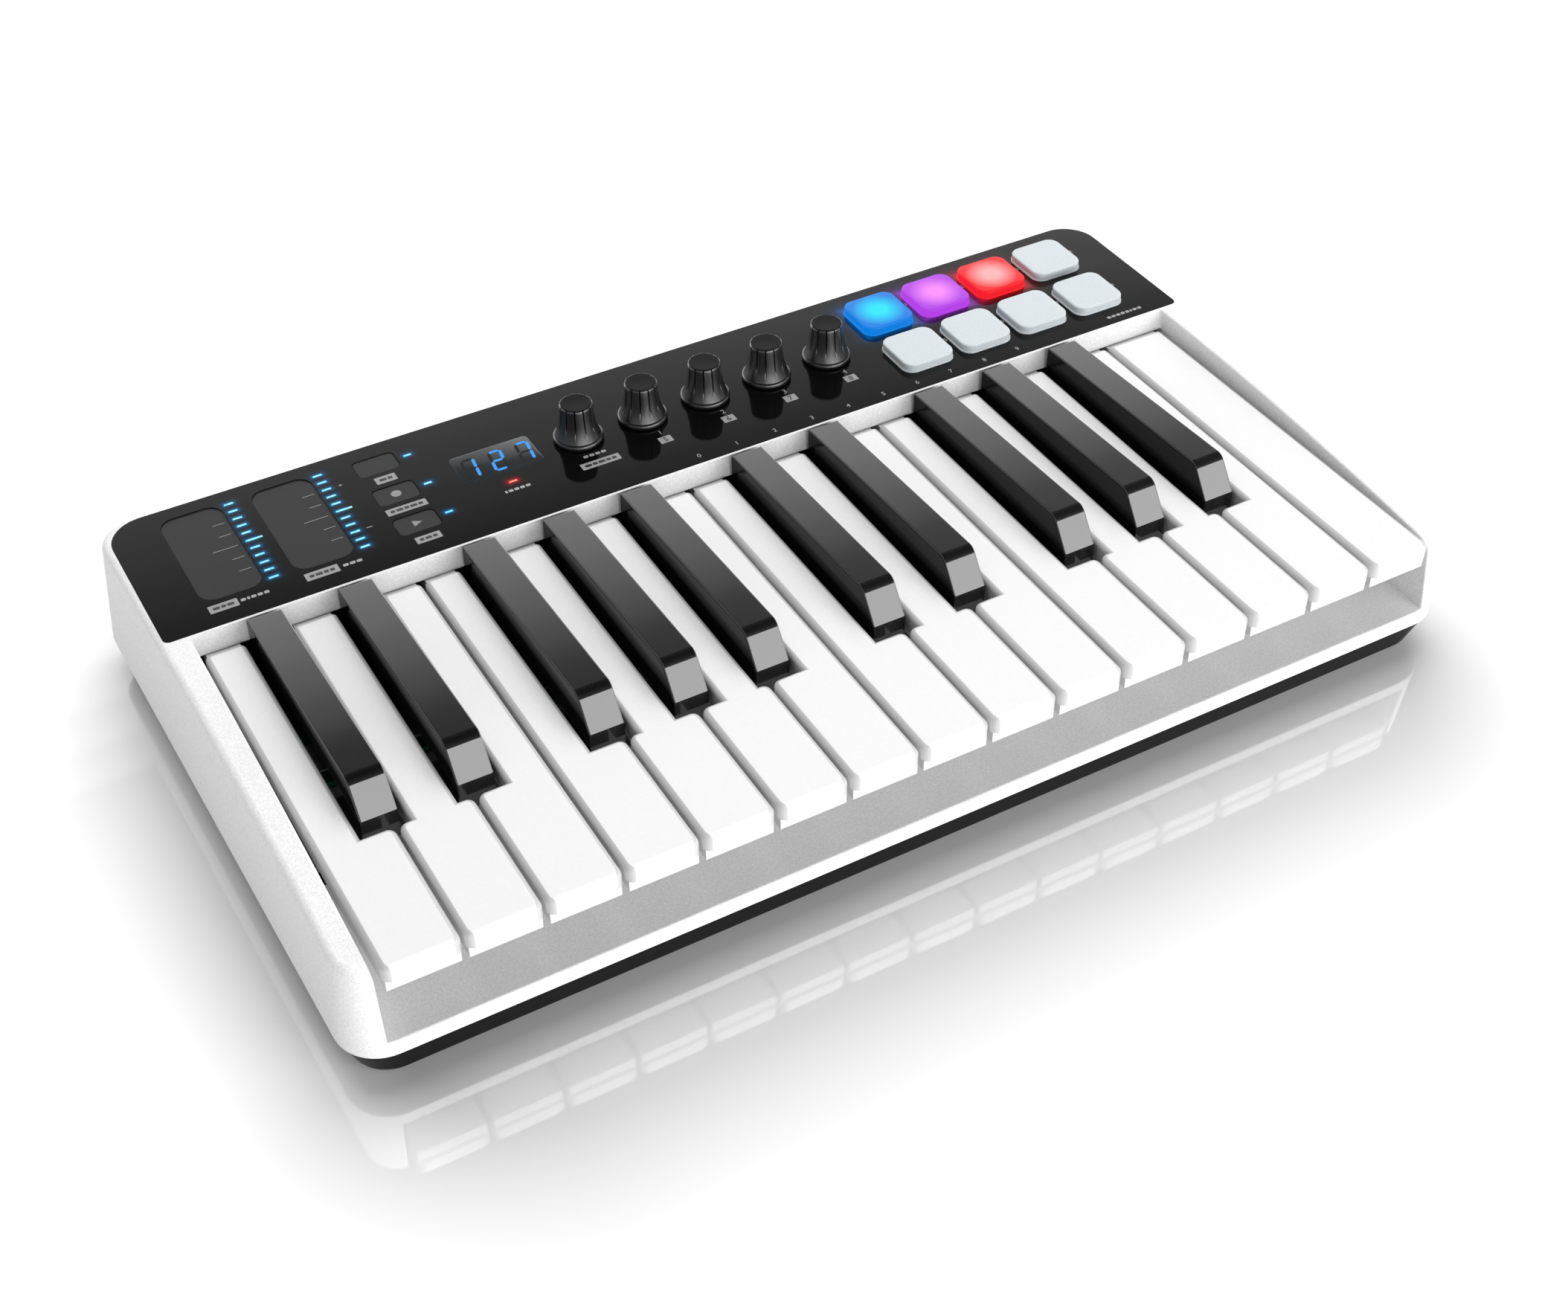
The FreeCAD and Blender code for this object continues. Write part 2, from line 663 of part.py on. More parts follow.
def make_white_key(index):
    body = new_body("white_key_%02d" % (index + 1))
    skirt = new_sketch(body, "skirt%d" % index, size("skirt_bottom"))
    key_plan(skirt, index, KEY_FRONT, (size("skirt_gap") - size("key_gap")) / 2, False)
    pad(body, skirt, size("cap_bottom") - size("skirt_bottom"))
    cap = new_sketch(body, "cap%d" % index, size("cap_bottom"))
    key_plan(cap, index, KEY_FRONT - size("cap_overhang"), Dim.of(0), True)
    pad(body, cap, size("white_top") - size("cap_bottom"))
    back = along("key_length").value
    fillet(body, lambda edge: at_height(edge, SIZES["white_top"])
           and edge.BoundBox.YMin > back - 0.1, size("key_back_edge"))
    fillet(body, lambda edge: at_height(edge, SIZES["white_top"])
           and edge.BoundBox.YMin < back - 3, size("key_edge"))
    _, _, back_left, back_right = white_strip(index)
    block(body, "Additive",
          (back_left + size("tail_inset"), along("key_length") - 4, size("tail_bottom")),
          (back_right - size("tail_inset"), along("tail_length"), size("tail_top")))
    bore_for_rod(body)
    return body


def black_centres():
    centres = []
    for index in range(WHITE_KEYS - 1):
        step = index % OCTAVE_WHITE
        if step in BLACK_OFFSETS:
            edge = size("key_pitch") * (index + 1 - WHITE_KEYS / 2)
            centres.append(edge + BLACK_OFFSETS[step])
    return centres


def make_black_key(number, centre):
    """Glossy black key: steep front, top that falls a little to the back, plain block below."""
    body = new_body("black_key_%02d" % number)
    half = size("black_width") / 2
    back = along("black_length")
    side = new_sketch(body, "black_side%d" % number, None, "YZ_Plane")
    outline(side, [(along("black_front"), size("black_root")), (back, size("black_root")),
                   (back, size("black_back_top")), (along("black_top_front"), size("black_top"))])
    pad(body, side, size("black_width"), symmetric=True)
    brow = along("black_top_front").value
    fillet(body, lambda e: e.BoundBox.XLength > 5 and e.BoundBox.ZMin > SIZES["black_top"] - 0.1
           and abs(e.BoundBox.YMin - brow) < 0.1, size("black_front_fillet"))
    roof = SIZES["black_back_top"] - 0.1
    fillet(body, lambda e: e.BoundBox.ZMin > roof
           and (e.BoundBox.YLength > 60 or e.BoundBox.YMin > back.value - 0.1),
           size("black_side_fillet"))
    block(body, "Additive", (-half, along("black_front"), size("skirt_bottom")),
          (half, back, size("black_root")))
    half_tail = size("black_tail_width") / 2
    block(body, "Additive", (-half_tail, back - 4, size("tail_bottom")),
          (half_tail, along("tail_length"), size("tail_top")))
    bore_for_rod(body)
    bind(body, "Placement.Base.x", centre)
    return body


BOARD_TOP = size("panel_bottom") - 2.6
PAD_TRAVEL_ROOM = 0.2


def make_pad(number, x, y):
    """Silicone pad: a flange held under the panel and a rounded top that stands proud."""
    body = new_body("pad_%d" % number)
    flange = new_sketch(body, "pad_flange%d" % number, size("panel_bottom") - 1.2)
    rectangle(flange, x, y, size("pad_flange"), size("pad_flange"), size("pad_corner") + 1)
    pad(body, flange, Dim.of(1.0))
    top = new_sketch(body, "pad_top%d" % number, size("panel_bottom") - 0.2)
    rectangle(top, x, y, size("pad_size"), size("pad_size"), size("pad_corner"))
    pad(body, top, size("panel_top") - size("panel_bottom") + 0.2 + size("pad_rise"))
    height = SIZES["panel_top"] + SIZES["pad_rise"]
    fillet(body, lambda edge: at_height(edge, height), size("pad_edge"))
    return body


def make_button(number, y):
    body = new_body("button_%d" % number)
    flange = new_sketch(body, "button_flange%d" % number, size("panel_bottom") - 1.0)
    rectangle(flange, size("button_x"), y, size("button_length") + 1.8,
              size("button_depth") + 1.8, size("button_corner") + 0.6)
    pad(body, flange, Dim.of(0.8))
    top = new_sketch(body, "button_top%d" % number, size("panel_bottom") - 0.2)
    rectangle(top, size("button_x"), y, size("button_length"), size("button_depth"),
              size("button_corner") - size("button_clearance"))
    pad(body, top, size("panel_top") - size("panel_bottom"))
    return body


FLUTES = 10


def make_knob(number, x):
    """Turned knob: a foot flange, a bell-shaped grip with scallops, and its own stem."""
    body = new_body("knob_%d" % number)
    base = size("panel_top") + size("knob_lift")
    profile = new_sketch(body, "knob_profile%d" % number, None, "XZ_Plane")
    foot, top = size("knob_foot_radius"), size("knob_top_radius")
    height = size("knob_height") - size("knob_lift")
    stem_end = base - 13.0
    points = [(Dim.of(0), stem_end), (size("stem_radius"), stem_end), (size("stem_radius"), base),
              (foot, base), (foot, base + height * 0.1), (foot - 0.6, base + height * 0.14),
              (foot - 1.5, base + height * 0.20), (foot - 2.2, base + height * 0.36),
              (top + 0.5, base + height * 0.70), (top, base + height * 0.95),
              (top - 0.8, base + height), (Dim.of(0), base + height)]
    for i, (a, b) in enumerate(zip(points, points[1:] + points[:1])):
        profile.addGeometry(Part.LineSegment(
            FreeCAD.Vector(a[0].value, a[1].value, 0), FreeCAD.Vector(b[0].value, b[1].value, 0)))
        if i:
            profile.addConstraint(Sketcher.Constraint("Coincident", i - 1, 2, i, 1))
    profile.addConstraint(Sketcher.Constraint("Coincident", len(points) - 1, 2, 0, 1))
    for i, (px, py) in enumerate(points):
        if px.value == 0:
            profile.addConstraint(Sketcher.Constraint("PointOnObject", i, 1, -2))
        else:
            hold(profile, "x", i, 1, px)
        hold(profile, "y", i, 1, py)
    turned = body.newObject("PartDesign::Revolution", "knob_turned%d" % number)
    turned.Profile = profile
    turned.ReferenceAxis = (profile, ["V_Axis"])
    turned.Angle = 360
    recompute_checked(turned)
    before = turned.Shape.Volume
    flute = body.newObject("PartDesign::SubtractiveCylinder", "knob_flute%d" % number)
    bind(flute, "Radius", Dim.of(1.3))
    bind(flute, "Height", height)
    flute.Placement = FreeCAD.Placement(
        FreeCAD.Vector(), FreeCAD.Rotation(FreeCAD.Vector(0, 1, 0), -4))
    place(flute, top + 1.75, Dim.of(0), base + height * 0.34)
    recompute_checked(flute)
    ring = body.newObject("PartDesign::PolarPattern", "knob_flutes%d" % number)
    ring.Originals = [flute]
    ring.Axis = (profile, ["V_Axis"])
    ring.Angle = 360
    ring.Occurrences = FLUTES
    body.Tip = ring
    recompute_checked(ring)
    if ring.Shape.Volume > before - 10:
        raise RuntimeError("the flutes cut nothing")
    bind(body, "Placement.Base.x", x)
    bind(body, "Placement.Base.y", along("knob_row"))
    return body


def make_encoders():
    """Hollow-shaft encoders that hang below the panel board, one under each knob."""
    top = BOARD_TOP - size("board_thickness") - RUNNING_GAP
    parts = []
    for x in knob_places():
        case = doc.addObject("Part::Box", "encoder_case")
        bind(case, "Length", size("encoder_size"))
        bind(case, "Width", size("encoder_size"))
        bind(case, "Height", size("encoder_height"))
        place(case, x - size("encoder_size") / 2, along("knob_row") - size("encoder_size") / 2,
              top - size("encoder_height"))
        bore = doc.addObject("Part::Cylinder", "encoder_bore")
        bind(bore, "Radius", size("stem_radius") + 0.06)
        bind(bore, "Height", size("encoder_height") + 2)
        place(bore, x, along("knob_row"), top - size("encoder_height") - 1)
        cut = doc.addObject("Part::Cut", "encoder")
        cut.Base = case
        cut.Tool = bore
        parts.append(cut)
    return compound("encoders", parts)


def hinge_walls():
    """X of the frame's walls that carry the pivot rod, where no black key is in the way."""
    inner = [size("key_pitch") * (i - WHITE_KEYS / 2) for i in (3, 7, 10, 14)]
    end = size("key_pitch") * (WHITE_KEYS / 2) + 0.2
    return [-end] + inner + [end]


def make_key_frame():
    body = new_body("key_frame")
    top = size("frame_bottom") + size("frame_thickness")
    block(body, "Additive", (-size("bay_half_width") + 0.8, along(63.0), size("frame_bottom")),
          (size("bay_half_width") - 0.8, along(168.0), top))
    block(body, "Additive", (-size("bay_half_width") + 6, along(86.0), top - 0.5),
          (size("bay_half_width") - 6, along(112.0), KEY_BOARD_BOTTOM - RUNNING_GAP))
    for x in hinge_walls():
        block(body, "Additive", (x - 0.8, along(152.5), top - 0.5),
              (x + 0.8, along(164.0), size("tail_top")))
    cylinder(body, "Subtractive", (-size("half_width_back"), along("pivot_depth"),
                                   size("pivot_height")),
             size("rod_radius") + 0.02, size("half_width_back") * 2, ALONG_X)
    return body


KEY_BOARD_BOTTOM = size("skirt_bottom") - 8.0


def make_pivot_rod():
    body = new_body("key_pivot_rod")
    length = hinge_walls()[-1] * 2 + 1.6
    cylinder(body, "Additive", (-length / 2, along("pivot_depth"), size("pivot_height")),
             size("rod_radius"), length, ALONG_X)
    return body


def key_centres():
    centres = []
    for index in range(WHITE_KEYS):
        _, _, left, right = white_strip(index)
        centres.append((left + right) / 2)
    return centres + black_centres()


def make_key_springs():
    """One return spring below each key's tail, behind the rod, drawn as a closed coil."""
    bottom = size("frame_bottom") + size("frame_thickness")
    parts = []
    for x in key_centres():
        outer = doc.addObject("Part::Cylinder", "spring_outer")
        inner = doc.addObject("Part::Cylinder", "spring_inner")
        for part, radius in ((outer, 1.6), (inner, 1.0)):
            part.Radius = radius
            bind(part, "Height", size("tail_bottom") - bottom - 0.35)
            place(part, x, along("pivot_depth") + 3.1, bottom + 0.05)
        cut = doc.addObject("Part::Cut", "spring")
        cut.Base = outer
        cut.Tool = inner
        parts.append(cut)
    return compound("key_springs", parts)


def make_key_contacts():
    """The key board on its platform, and the rubber strip with a dome below each key."""
    board = new_body("key_circuit_board")
    reach = size("bay_half_width") - 7
    block(board, "Additive", (-reach, along(87.0), KEY_BOARD_BOTTOM),
          (reach, along(111.0), KEY_BOARD_BOTTOM + size("board_thickness")))
    strip = new_body("key_contact_strip")
    base = KEY_BOARD_BOTTOM + size("board_thickness") + RUNNING_GAP
    block(strip, "Additive", (-reach, along(92.0), base), (reach, along(104.0), base + 0.8))
    for x in key_centres():
        cylinder(strip, "Additive", (x, along("contact_depth"), base + 0.4), Dim.of(3.0),
                 Dim.of(1.3))
    return [board, strip]


def make_panel_board():
    body = new_body("panel_circuit_board")
    face = new_sketch(body, "panel_board_face", BOARD_TOP - size("board_thickness"))
    rectangle(face, 0, (along(152.0) + along(202.6)) / 2, size("panel_half_width") * 2 - 18,
              Dim.of(50.6), Dim.of(3))
    pad(body, face, size("board_thickness"))
    holes = new_sketch(body, "panel_board_holes", BOARD_TOP + 0.5)
    for x in knob_places():
        circle(holes, x, along("knob_row"), size("stem_radius") + 0.5)
    pocket(body, holes, size("board_thickness") + 1)
    for x, y in screw_places():
        if y.value > 0:
            cylinder(body, "Subtractive", (x, y, BOARD_TOP - 3), Dim.of(BOSS_RADIUS + 0.4),
                     Dim.of(5))
    return body


def make_audio_sockets():
    """Round jack sockets in the back wall, each a bushing with a block behind it."""
    parts = []
    for x, bore in SOCKETS:
        radius = size("socket_bore") if bore == "socket_bore" else Dim.of(MINI_BORE)
        outer_radius = radius + BUSHING_WALL
        bushing = doc.addObject("Part::Cylinder", "socket_bushing")
        bind(bushing, "Radius", outer_radius)
        bind(bushing, "Height", size("socket_length"))
        case = doc.addObject("Part::Box", "socket_case")
        bind(case, "Length", outer_radius * 2 + 3)
        bind(case, "Width", Dim.of(18))
        bind(case, "Height", outer_radius * 2 + 1)
        hole = doc.addObject("Part::Cylinder", "socket_hole")
        bind(hole, "Radius", radius)
        bind(hole, "Height", size("socket_length") + 1)
        for part in (bushing, hole):
            part.Placement = FreeCAD.Placement(FreeCAD.Vector(), ALONG_Y)
            place(part, x, CASE_BACK - size("socket_length"), size("socket_height"))
        place(case, Dim.of(x) - outer_radius - 1.5,
              CASE_BACK - size("socket_length") - 12, size("socket_height") - outer_radius - 0.5)
        body = doc.addObject("Part::Fuse", "socket_body")
        body.Base = bushing
        body.Tool = case
        cut = doc.addObject("Part::Cut", "socket")
        cut.Base = body
        cut.Tool = hole
        parts.append(cut)
    return compound("audio_sockets", parts)


def make_usb_socket():
    body = new_body("usb_socket")
    z = size("socket_height")
    low, high = CASE_BACK - 13, CASE_BACK - 1.0
    block(body, "Additive", (USB_X - USB_LENGTH / 2, low, z - USB_HEIGHT / 2),
          (USB_X + USB_LENGTH / 2, high, z + USB_HEIGHT / 2))
    slot = new_sketch(body, "usb_slot", None, "XZ_Plane")
    rectangle(slot, Dim.of(USB_X), z, Dim.of(9.2), Dim.of(3.4), Dim.of(1.6))
    bind(slot, "AttachmentOffset.Base.z", -(high + 0.5))
    pocket(body, slot, Dim.of(8.5), upward=True)
    return body


def make_feet():
    parts = []
    for side in (-1, 1):
        for y in (CASE_FRONT + 22, CASE_BACK - 22):
            foot = doc.addObject("Part::Cylinder", "foot")
            foot.Radius = 7
            bind(foot, "Height", size("feet_height") - 0.02)
            place(foot, size("half_width_front") * 0.72 * side, y, Dim.of(0))
            parts.append(foot)
    return compound("rubber_feet", parts)


def make_screws():
    parts = []
    for x, y in screw_places():
        head = doc.addObject("Part::Cylinder", "screw_head")
        head.Radius = SCREW_HEAD_RADIUS
        head.Height = SCREW_HEAD_HEIGHT - 1.2
        bottom = size("feet_height") + 0.1
        place(head, x, y, bottom)
        shank = doc.addObject("Part::Cylinder", "screw_shank")
        shank.Radius = SCREW_RADIUS
        shank.Height = 11
        place(shank, x, y, bottom + 0.5)
        screw = doc.addObject("Part::Fuse", "screw")
        screw.Base = head
        screw.Tool = shank
        parts.append(screw)
    return compound("case_screws", parts)


nodes = [make_top_case(), make_bottom_case(), make_control_panel(), make_light_pipes()]
nodes += make_display() + make_touch_strips()
nodes += [make_white_key(i) for i in range(WHITE_KEYS)]
nodes += [make_black_key(i, x) for i, x in enumerate(black_centres(), start=1)]
nodes += [make_pad(i, x, y) for i, (x, y) in enumerate(pad_places(), start=1)]
nodes += [make_button(i, y) for i, y in enumerate(button_places(), start=1)]
nodes += [make_knob(i, x) for i, x in enumerate(knob_places(), start=1)]
nodes += [make_encoders(), make_key_frame(), make_pivot_rod(), make_key_springs()]
nodes += make_key_contacts()
nodes += [make_panel_board(), make_audio_sockets(), make_usb_socket(), make_feet(),
          make_screws()]

doc.recompute()
for obj in doc.Objects:
    if "Invalid" in obj.State or "Error" in obj.State:
        raise RuntimeError("%s is in state %s" % (obj.Name, obj.State))
for node in nodes:
    if node.Shape.isNull() or not node.Shape.isValid() or not node.Shape.Solids:
        raise RuntimeError("%s has no valid solid" % node.Label)

os.makedirs("parts", exist_ok=True)
for node in nodes:
    node.Shape.exportStep(os.path.join("parts", node.Label + ".step"))
    print("%-22s %9.0f mm3 %3d faces" % (node.Label, node.Shape.Volume, len(node.Shape.Faces)))
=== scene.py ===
import math

import bmesh
import bpy
from mathutils import Matrix, Vector


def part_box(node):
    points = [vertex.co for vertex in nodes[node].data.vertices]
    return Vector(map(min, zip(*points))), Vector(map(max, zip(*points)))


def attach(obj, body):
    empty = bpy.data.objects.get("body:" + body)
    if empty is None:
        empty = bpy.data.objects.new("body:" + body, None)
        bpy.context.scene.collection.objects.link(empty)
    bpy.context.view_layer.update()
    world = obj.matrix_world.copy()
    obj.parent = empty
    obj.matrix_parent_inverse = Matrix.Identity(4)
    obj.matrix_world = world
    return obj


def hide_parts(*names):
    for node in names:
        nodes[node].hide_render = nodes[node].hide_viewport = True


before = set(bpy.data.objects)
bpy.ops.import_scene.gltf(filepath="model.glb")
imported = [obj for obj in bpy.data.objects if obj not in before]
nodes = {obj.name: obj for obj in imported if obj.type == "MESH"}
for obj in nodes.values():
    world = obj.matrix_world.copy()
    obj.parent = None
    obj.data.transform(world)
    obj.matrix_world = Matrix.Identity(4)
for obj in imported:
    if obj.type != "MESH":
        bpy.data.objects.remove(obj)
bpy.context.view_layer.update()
MM = 0.001

panel_low, panel_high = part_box("control_panel")
PANEL_TOP = panel_high.z
PANEL_FRONT = panel_low.y


def row(depth):
    """Y, in metres, of a line this many millimetres behind the panel's front edge."""
    return PANEL_FRONT + depth * MM


# ---------------------------------------------------------------- lay-out of the panel
# x is in millimetres from the middle of the keyboard, and a depth or row in millimetres
# behind the panel's front edge

STRIP_XS = (-159.4, -129.6)
LAMP_COLUMNS = (-146.4, -116.6)
LAMP_PITCH = 4.18
LAMP_COUNT = 11
MIDDLE_LAMP = LAMP_COUNT // 2
MIDDLE_ROW = 34.6
BUTTON_X = -98.0
BUTTON_ROWS = (51.5, 34.2, 16.9)
STATUS_X = -87.1
INPUT_LAMP = (-62.9, 21.4)
WINDOW = (-62.9, 34.4, 28.2, 16.2)              # x, depth, length, width
KNOB_XS = [-34.6 + 23.6 * i for i in range(5)]
PAD_XS = [88.6 + 23.65 * i for i in range(4)]
PAD_ROWS = (44.7, 18.7)
PAD_HALF = 9.8
PAD_LIGHT_RADIUS = 1.15 * PAD_HALF     # where the light of a lit pad has faded to its rim's

# the lit pads of the back row: colour of the middle, colour of the rim, strength
PAD_LIGHTS = (
    ((0.0, 0.80, 0.98), (0.0, 0.21, 0.76), 0.95),
    ((0.94, 0.26, 0.94), (0.46, 0.05, 0.80), 0.95),
    ((0.96, 0.48, 0.48), (0.92, 0.01, 0.02), 0.95),
)

# light that falls on the panel: half width, half depth and reach in millimetres, strength
PAD_GLOW = (PAD_HALF, PAD_HALF, 1.5, 0.40)
STRIP_GLOW = (1.4, 0.3, 0.5, 0.9)
STATUS_GLOW = (1.1, 0.3, 0.5, 0.9)
INPUT_GLOW = (1.3, 0.3, 0.62, 0.8)
BLUE_GLOW = (0.0, 0.22, 0.55)
RED_GLOW = (0.6, 0.01, 0.01)


# ---------------------------------------------------------------- material building blocks

def grey(level):
    return (level, level, level)


def shades(colour, low, high):
    """A darker and a lighter version of a colour, neither over white."""
    return [tuple(min(1.0, c * share) for c in colour) for share in (low, high)]


def new_material(name):
    mat = bpy.data.materials.new(name)
    mat.use_nodes = True
    tree = mat.node_tree
    return mat, tree, tree.nodes["Principled BSDF"]


def feed(tree, node, values):
    """Set inputs by name or number, each to a node's output, a number or an RGB colour."""
    for key, value in values.items():
        if hasattr(value, "is_output"):
            tree.links.new(value, node.inputs[key])
        elif isinstance(value, tuple):
            node.inputs[key].default_value = (*value, 1.0)
        else:
            node.inputs[key].default_value = value


def math_node(tree, operation, *values):
    node = tree.nodes.new("ShaderNodeMath")
    node.operation = operation
    feed(tree, node, dict(enumerate(values)))
    return node.outputs[0]


def coordinates(tree, kind):
    """The x, y and z of the "Object" position in metres, or of the surface's "Normal"."""
    split = tree.nodes.new("ShaderNodeSeparateXYZ")
    feed(tree, split, {0: tree.nodes.new("ShaderNodeTexCoord").outputs[kind]})
    return list(split.outputs)


def noise(tree, scale, detail, rough, stretch=None):
    where = tree.nodes.new("ShaderNodeTexCoord").outputs["Object"]
    if stretch:
        mapping = tree.nodes.new("ShaderNodeMapping")
        mapping.inputs["Scale"].default_value = stretch
        tree.links.new(where, mapping.inputs["Vector"])
        where = mapping.outputs["Vector"]
    node = tree.nodes.new("ShaderNodeTexNoise")
    feed(tree, node, {"Scale": scale, "Detail": detail, "Roughness": rough, "Vector": where})
    return node.outputs["Fac"]


def ramp(tree, value, stops):
    """A colour that follows a value. The colour of a stop may be a plain number, for grey."""
    node = tree.nodes.new("ShaderNodeValToRGB")
    elements = node.color_ramp.elements
    while len(elements) < len(stops):
        elements.new(0.5)
    for element, (place, colour) in zip(elements, stops):
        element.position = place
        element.color = (*(colour if isinstance(colour, tuple) else grey(colour)), 1.0)
    tree.links.new(value, node.inputs["Fac"])
    return node.outputs["Color"]


def spread(tree, value, low, high, start=0.0, end=1.0):
    """Map a value between start and end to one between low and high."""
    node = tree.nodes.new("ShaderNodeMapRange")
    feed(tree, node, {"From Min": start, "From Max": end, "To Min": low, "To Max": high,
                      "Value": value})
    return node.outputs["Result"]


def mix_colour(tree, factor, a, b, blend="MIX"):
    node = tree.nodes.new("ShaderNodeMix")
    node.data_type = "RGBA"
    node.blend_type = blend
    feed(tree, node, {"Factor": factor, "A": a, "B": b})
    return node.outputs["Result"]


def add_bump(tree, shader, height, depth, strength):
    node = tree.nodes.new("ShaderNodeBump")
    feed(tree, node, {"Distance": depth, "Strength": strength, "Height": height})
    feed(tree, shader, {"Normal": node.outputs["Normal"]})


def outside(tree, value, half):
    """How far a value lies outside the stretch from -half to half."""
    past = math_node(tree, "SUBTRACT", math_node(tree, "ABSOLUTE", value), half)
    return math_node(tree, "MAXIMUM", past, 0.0)


def distance(tree, dx, dy):
    """How far two points are apart that differ by dx and dy."""
    squares = [math_node(tree, "MULTIPLY", side, side) for side in (dx, dy)]
    return math_node(tree, "SQRT", math_node(tree, "ADD", *squares))


def facing(tree, axis):
    """How far a face points along an axis, from 0 (against it) to 1 (along it)."""
    return math_node(tree, "MULTIPLY_ADD", coordinates(tree, "Normal")[axis], 0.5, 0.5)


def gloss_by_facing(mat, axis, across, along):
    """One specular level for faces that point across an axis and one for those along it."""
    tree = mat.node_tree
    turned = math_node(tree, "ABSOLUTE", coordinates(tree, "Normal")[axis])
    level = spread(tree, turned, across, along, start=0.8, end=0.97)
    feed(tree, tree.nodes["Principled BSDF"], {"Specular IOR Level": level})


def blend_base(mat, blend, *layers):
    """Blend the base colour of a material with the darker of two grey layers."""
    tree = mat.node_tree
    base = tree.nodes["Principled BSDF"].inputs["Base Color"]
    layer = math_node(tree, "MINIMUM", *layers)
    tree.links.new(mix_colour(tree, 1.0, base.links[0].from_socket, layer, blend), base)


# ---------------------------------------------------------------- materials

GLOSS_CLOUD = 0.02                     # slow change of roughness over a moulded part


def plastic(name, colour, rough, speckle=0.03, grain=1600.0, bump=0.00003, bump_strength=0.35,
            specular=0.5):
    """Moulded plastic: fine grain in colour and height, broad slow variation in gloss."""
    mat, tree, shader = new_material(name)
    fine = noise(tree, grain, 2.0, 0.6)
    low, high = shades(colour, 1 - speckle, 1 + speckle)
    broad = noise(tree, 26.0, 3.0, 0.55)
    feed(tree, shader, {
        "Base Color": ramp(tree, fine, [(0.36, low), (0.64, high)]),
        "Roughness": spread(tree, broad, rough - GLOSS_CLOUD, rough + GLOSS_CLOUD),
        "Specular IOR Level": specular})
    add_bump(tree, shader, fine, bump, bump_strength)
    return mat


def steel(name, level, rough):
    mat, tree, shader = new_material(name)
    streak = noise(tree, 300.0, 3.0, 0.6, stretch=(0.05, 1, 1))
    feed(tree, shader, {
        "Base Color": ramp(tree, streak, [(0.3, level * 0.85), (0.7, level * 1.1)]),
        "Roughness": spread(tree, streak, rough * 0.8, rough * 1.2),
        "Metallic": 1.0})
    return mat


def ink(name, level):
    """Printed ink."""
    mat, tree, shader = new_material(name)
    grain = noise(tree, 5200.0, 2.0, 0.6)
    feed(tree, shader, {
        "Base Color": ramp(tree, grain, [(0.3, level * 0.86), (0.7, level * 1.1)]),
        "Roughness": spread(tree, grain, 0.40, 0.53)})
    add_bump(tree, shader, grain, 0.00001, 0.2)
    return mat


def lamp(name, colour, core, strength):
    """A lit light pipe or segment, a little brighter in places."""
    mat, tree, shader = new_material(name)
    cells = noise(tree, 900.0, 1.0, 0.4)
    feed(tree, shader, {
        "Base Color": grey(0.05),
        "Emission Color": ramp(tree, cells, [(0.3, colour), (0.75, core)]),
        "Emission Strength": strength,
        "Roughness": 0.3,
        "Specular IOR Level": 0.05})
    return mat


def white_key_material():
    """The rims, the sides, the front and the back of a white key get painted shade, so they are
    greyer than its top.
    """
    mat = plastic("key_white", grey(0.80), 0.2, speckle=0.008, grain=700.0, bump=0.00001,
                  bump_strength=0.1, specular=0.4)
    tree = mat.node_tree
    # painted shade: factors that darken the base colour of the sides, rims, front and back by
    # the way they face
    side, rim, front, back = 0.79, 0.66, 0.79, 0.72
    across = ramp(tree, facing(tree, 0), [
        (0.0, side), (0.06, rim), (0.40, rim), (0.45, 1.0),
        (0.55, 1.0), (0.60, rim), (0.94, rim), (1.0, side)])
    along = ramp(tree, facing(tree, 1), [
        (0.0, front), (0.1, front), (0.2, 1.0), (0.54, 1.0), (0.62, back), (1.0, back)])
    blend_base(mat, "MULTIPLY", across, along)
    gloss_by_facing(mat, 1, 0.4, 0.08)
    return mat


def black_key_material():
    """Polished on the top and the front, satin on the long sides, with painted highlight lines
    on the upper edges of the long sides, brighter on the right.
    """
    mat = plastic("key_black", grey(0.003), 0.08, speckle=0.1, grain=900.0, bump=0.00001,
                  bump_strength=0.12)
    tree = mat.node_tree
    # painted highlight: grey added to the base colour where the top turns into the long sides,
    # more on the right than on the left
    left, right = 0.04, 0.20
    edges = ramp(tree, facing(tree, 0), [
        (0.08, 0.0), (0.16, left), (0.30, left), (0.36, 0.0),
        (0.64, 0.0), (0.70, right), (0.88, right), (0.94, 0.0)])
    painted_highlight_mask = ramp(tree, facing(tree, 2), [(0.60, 0.0), (0.66, 1.0)])
    blend_base(mat, "ADD", edges, painted_highlight_mask)
    gloss_by_facing(mat, 0, 1.0, 0.06)
    return mat


def knob_material():
    """Glossy on the sides, dull on the flat top."""
    mat = plastic("knob_gloss", grey(0.005), 0.3, speckle=0.15, grain=1400.0, bump=0.00001,
                  bump_strength=0.2)
    gloss_by_facing(mat, 2, 1.0, 0.05)
    mat.node_tree.nodes["Principled BSDF"].inputs["IOR"].default_value = 1.65
    return mat


def window_material():
    mat, tree, shader = new_material("smoked_window")
    fine = noise(tree, 1500.0, 2.0, 0.6)
    feed(tree, shader, {
        "Base Color": ramp(tree, fine, [(0.3, (0.018, 0.021, 0.023)),
                                        (0.7, (0.025, 0.029, 0.031))]),
        "Roughness": 0.2,
        "Specular IOR Level": 0.12})
    return mat


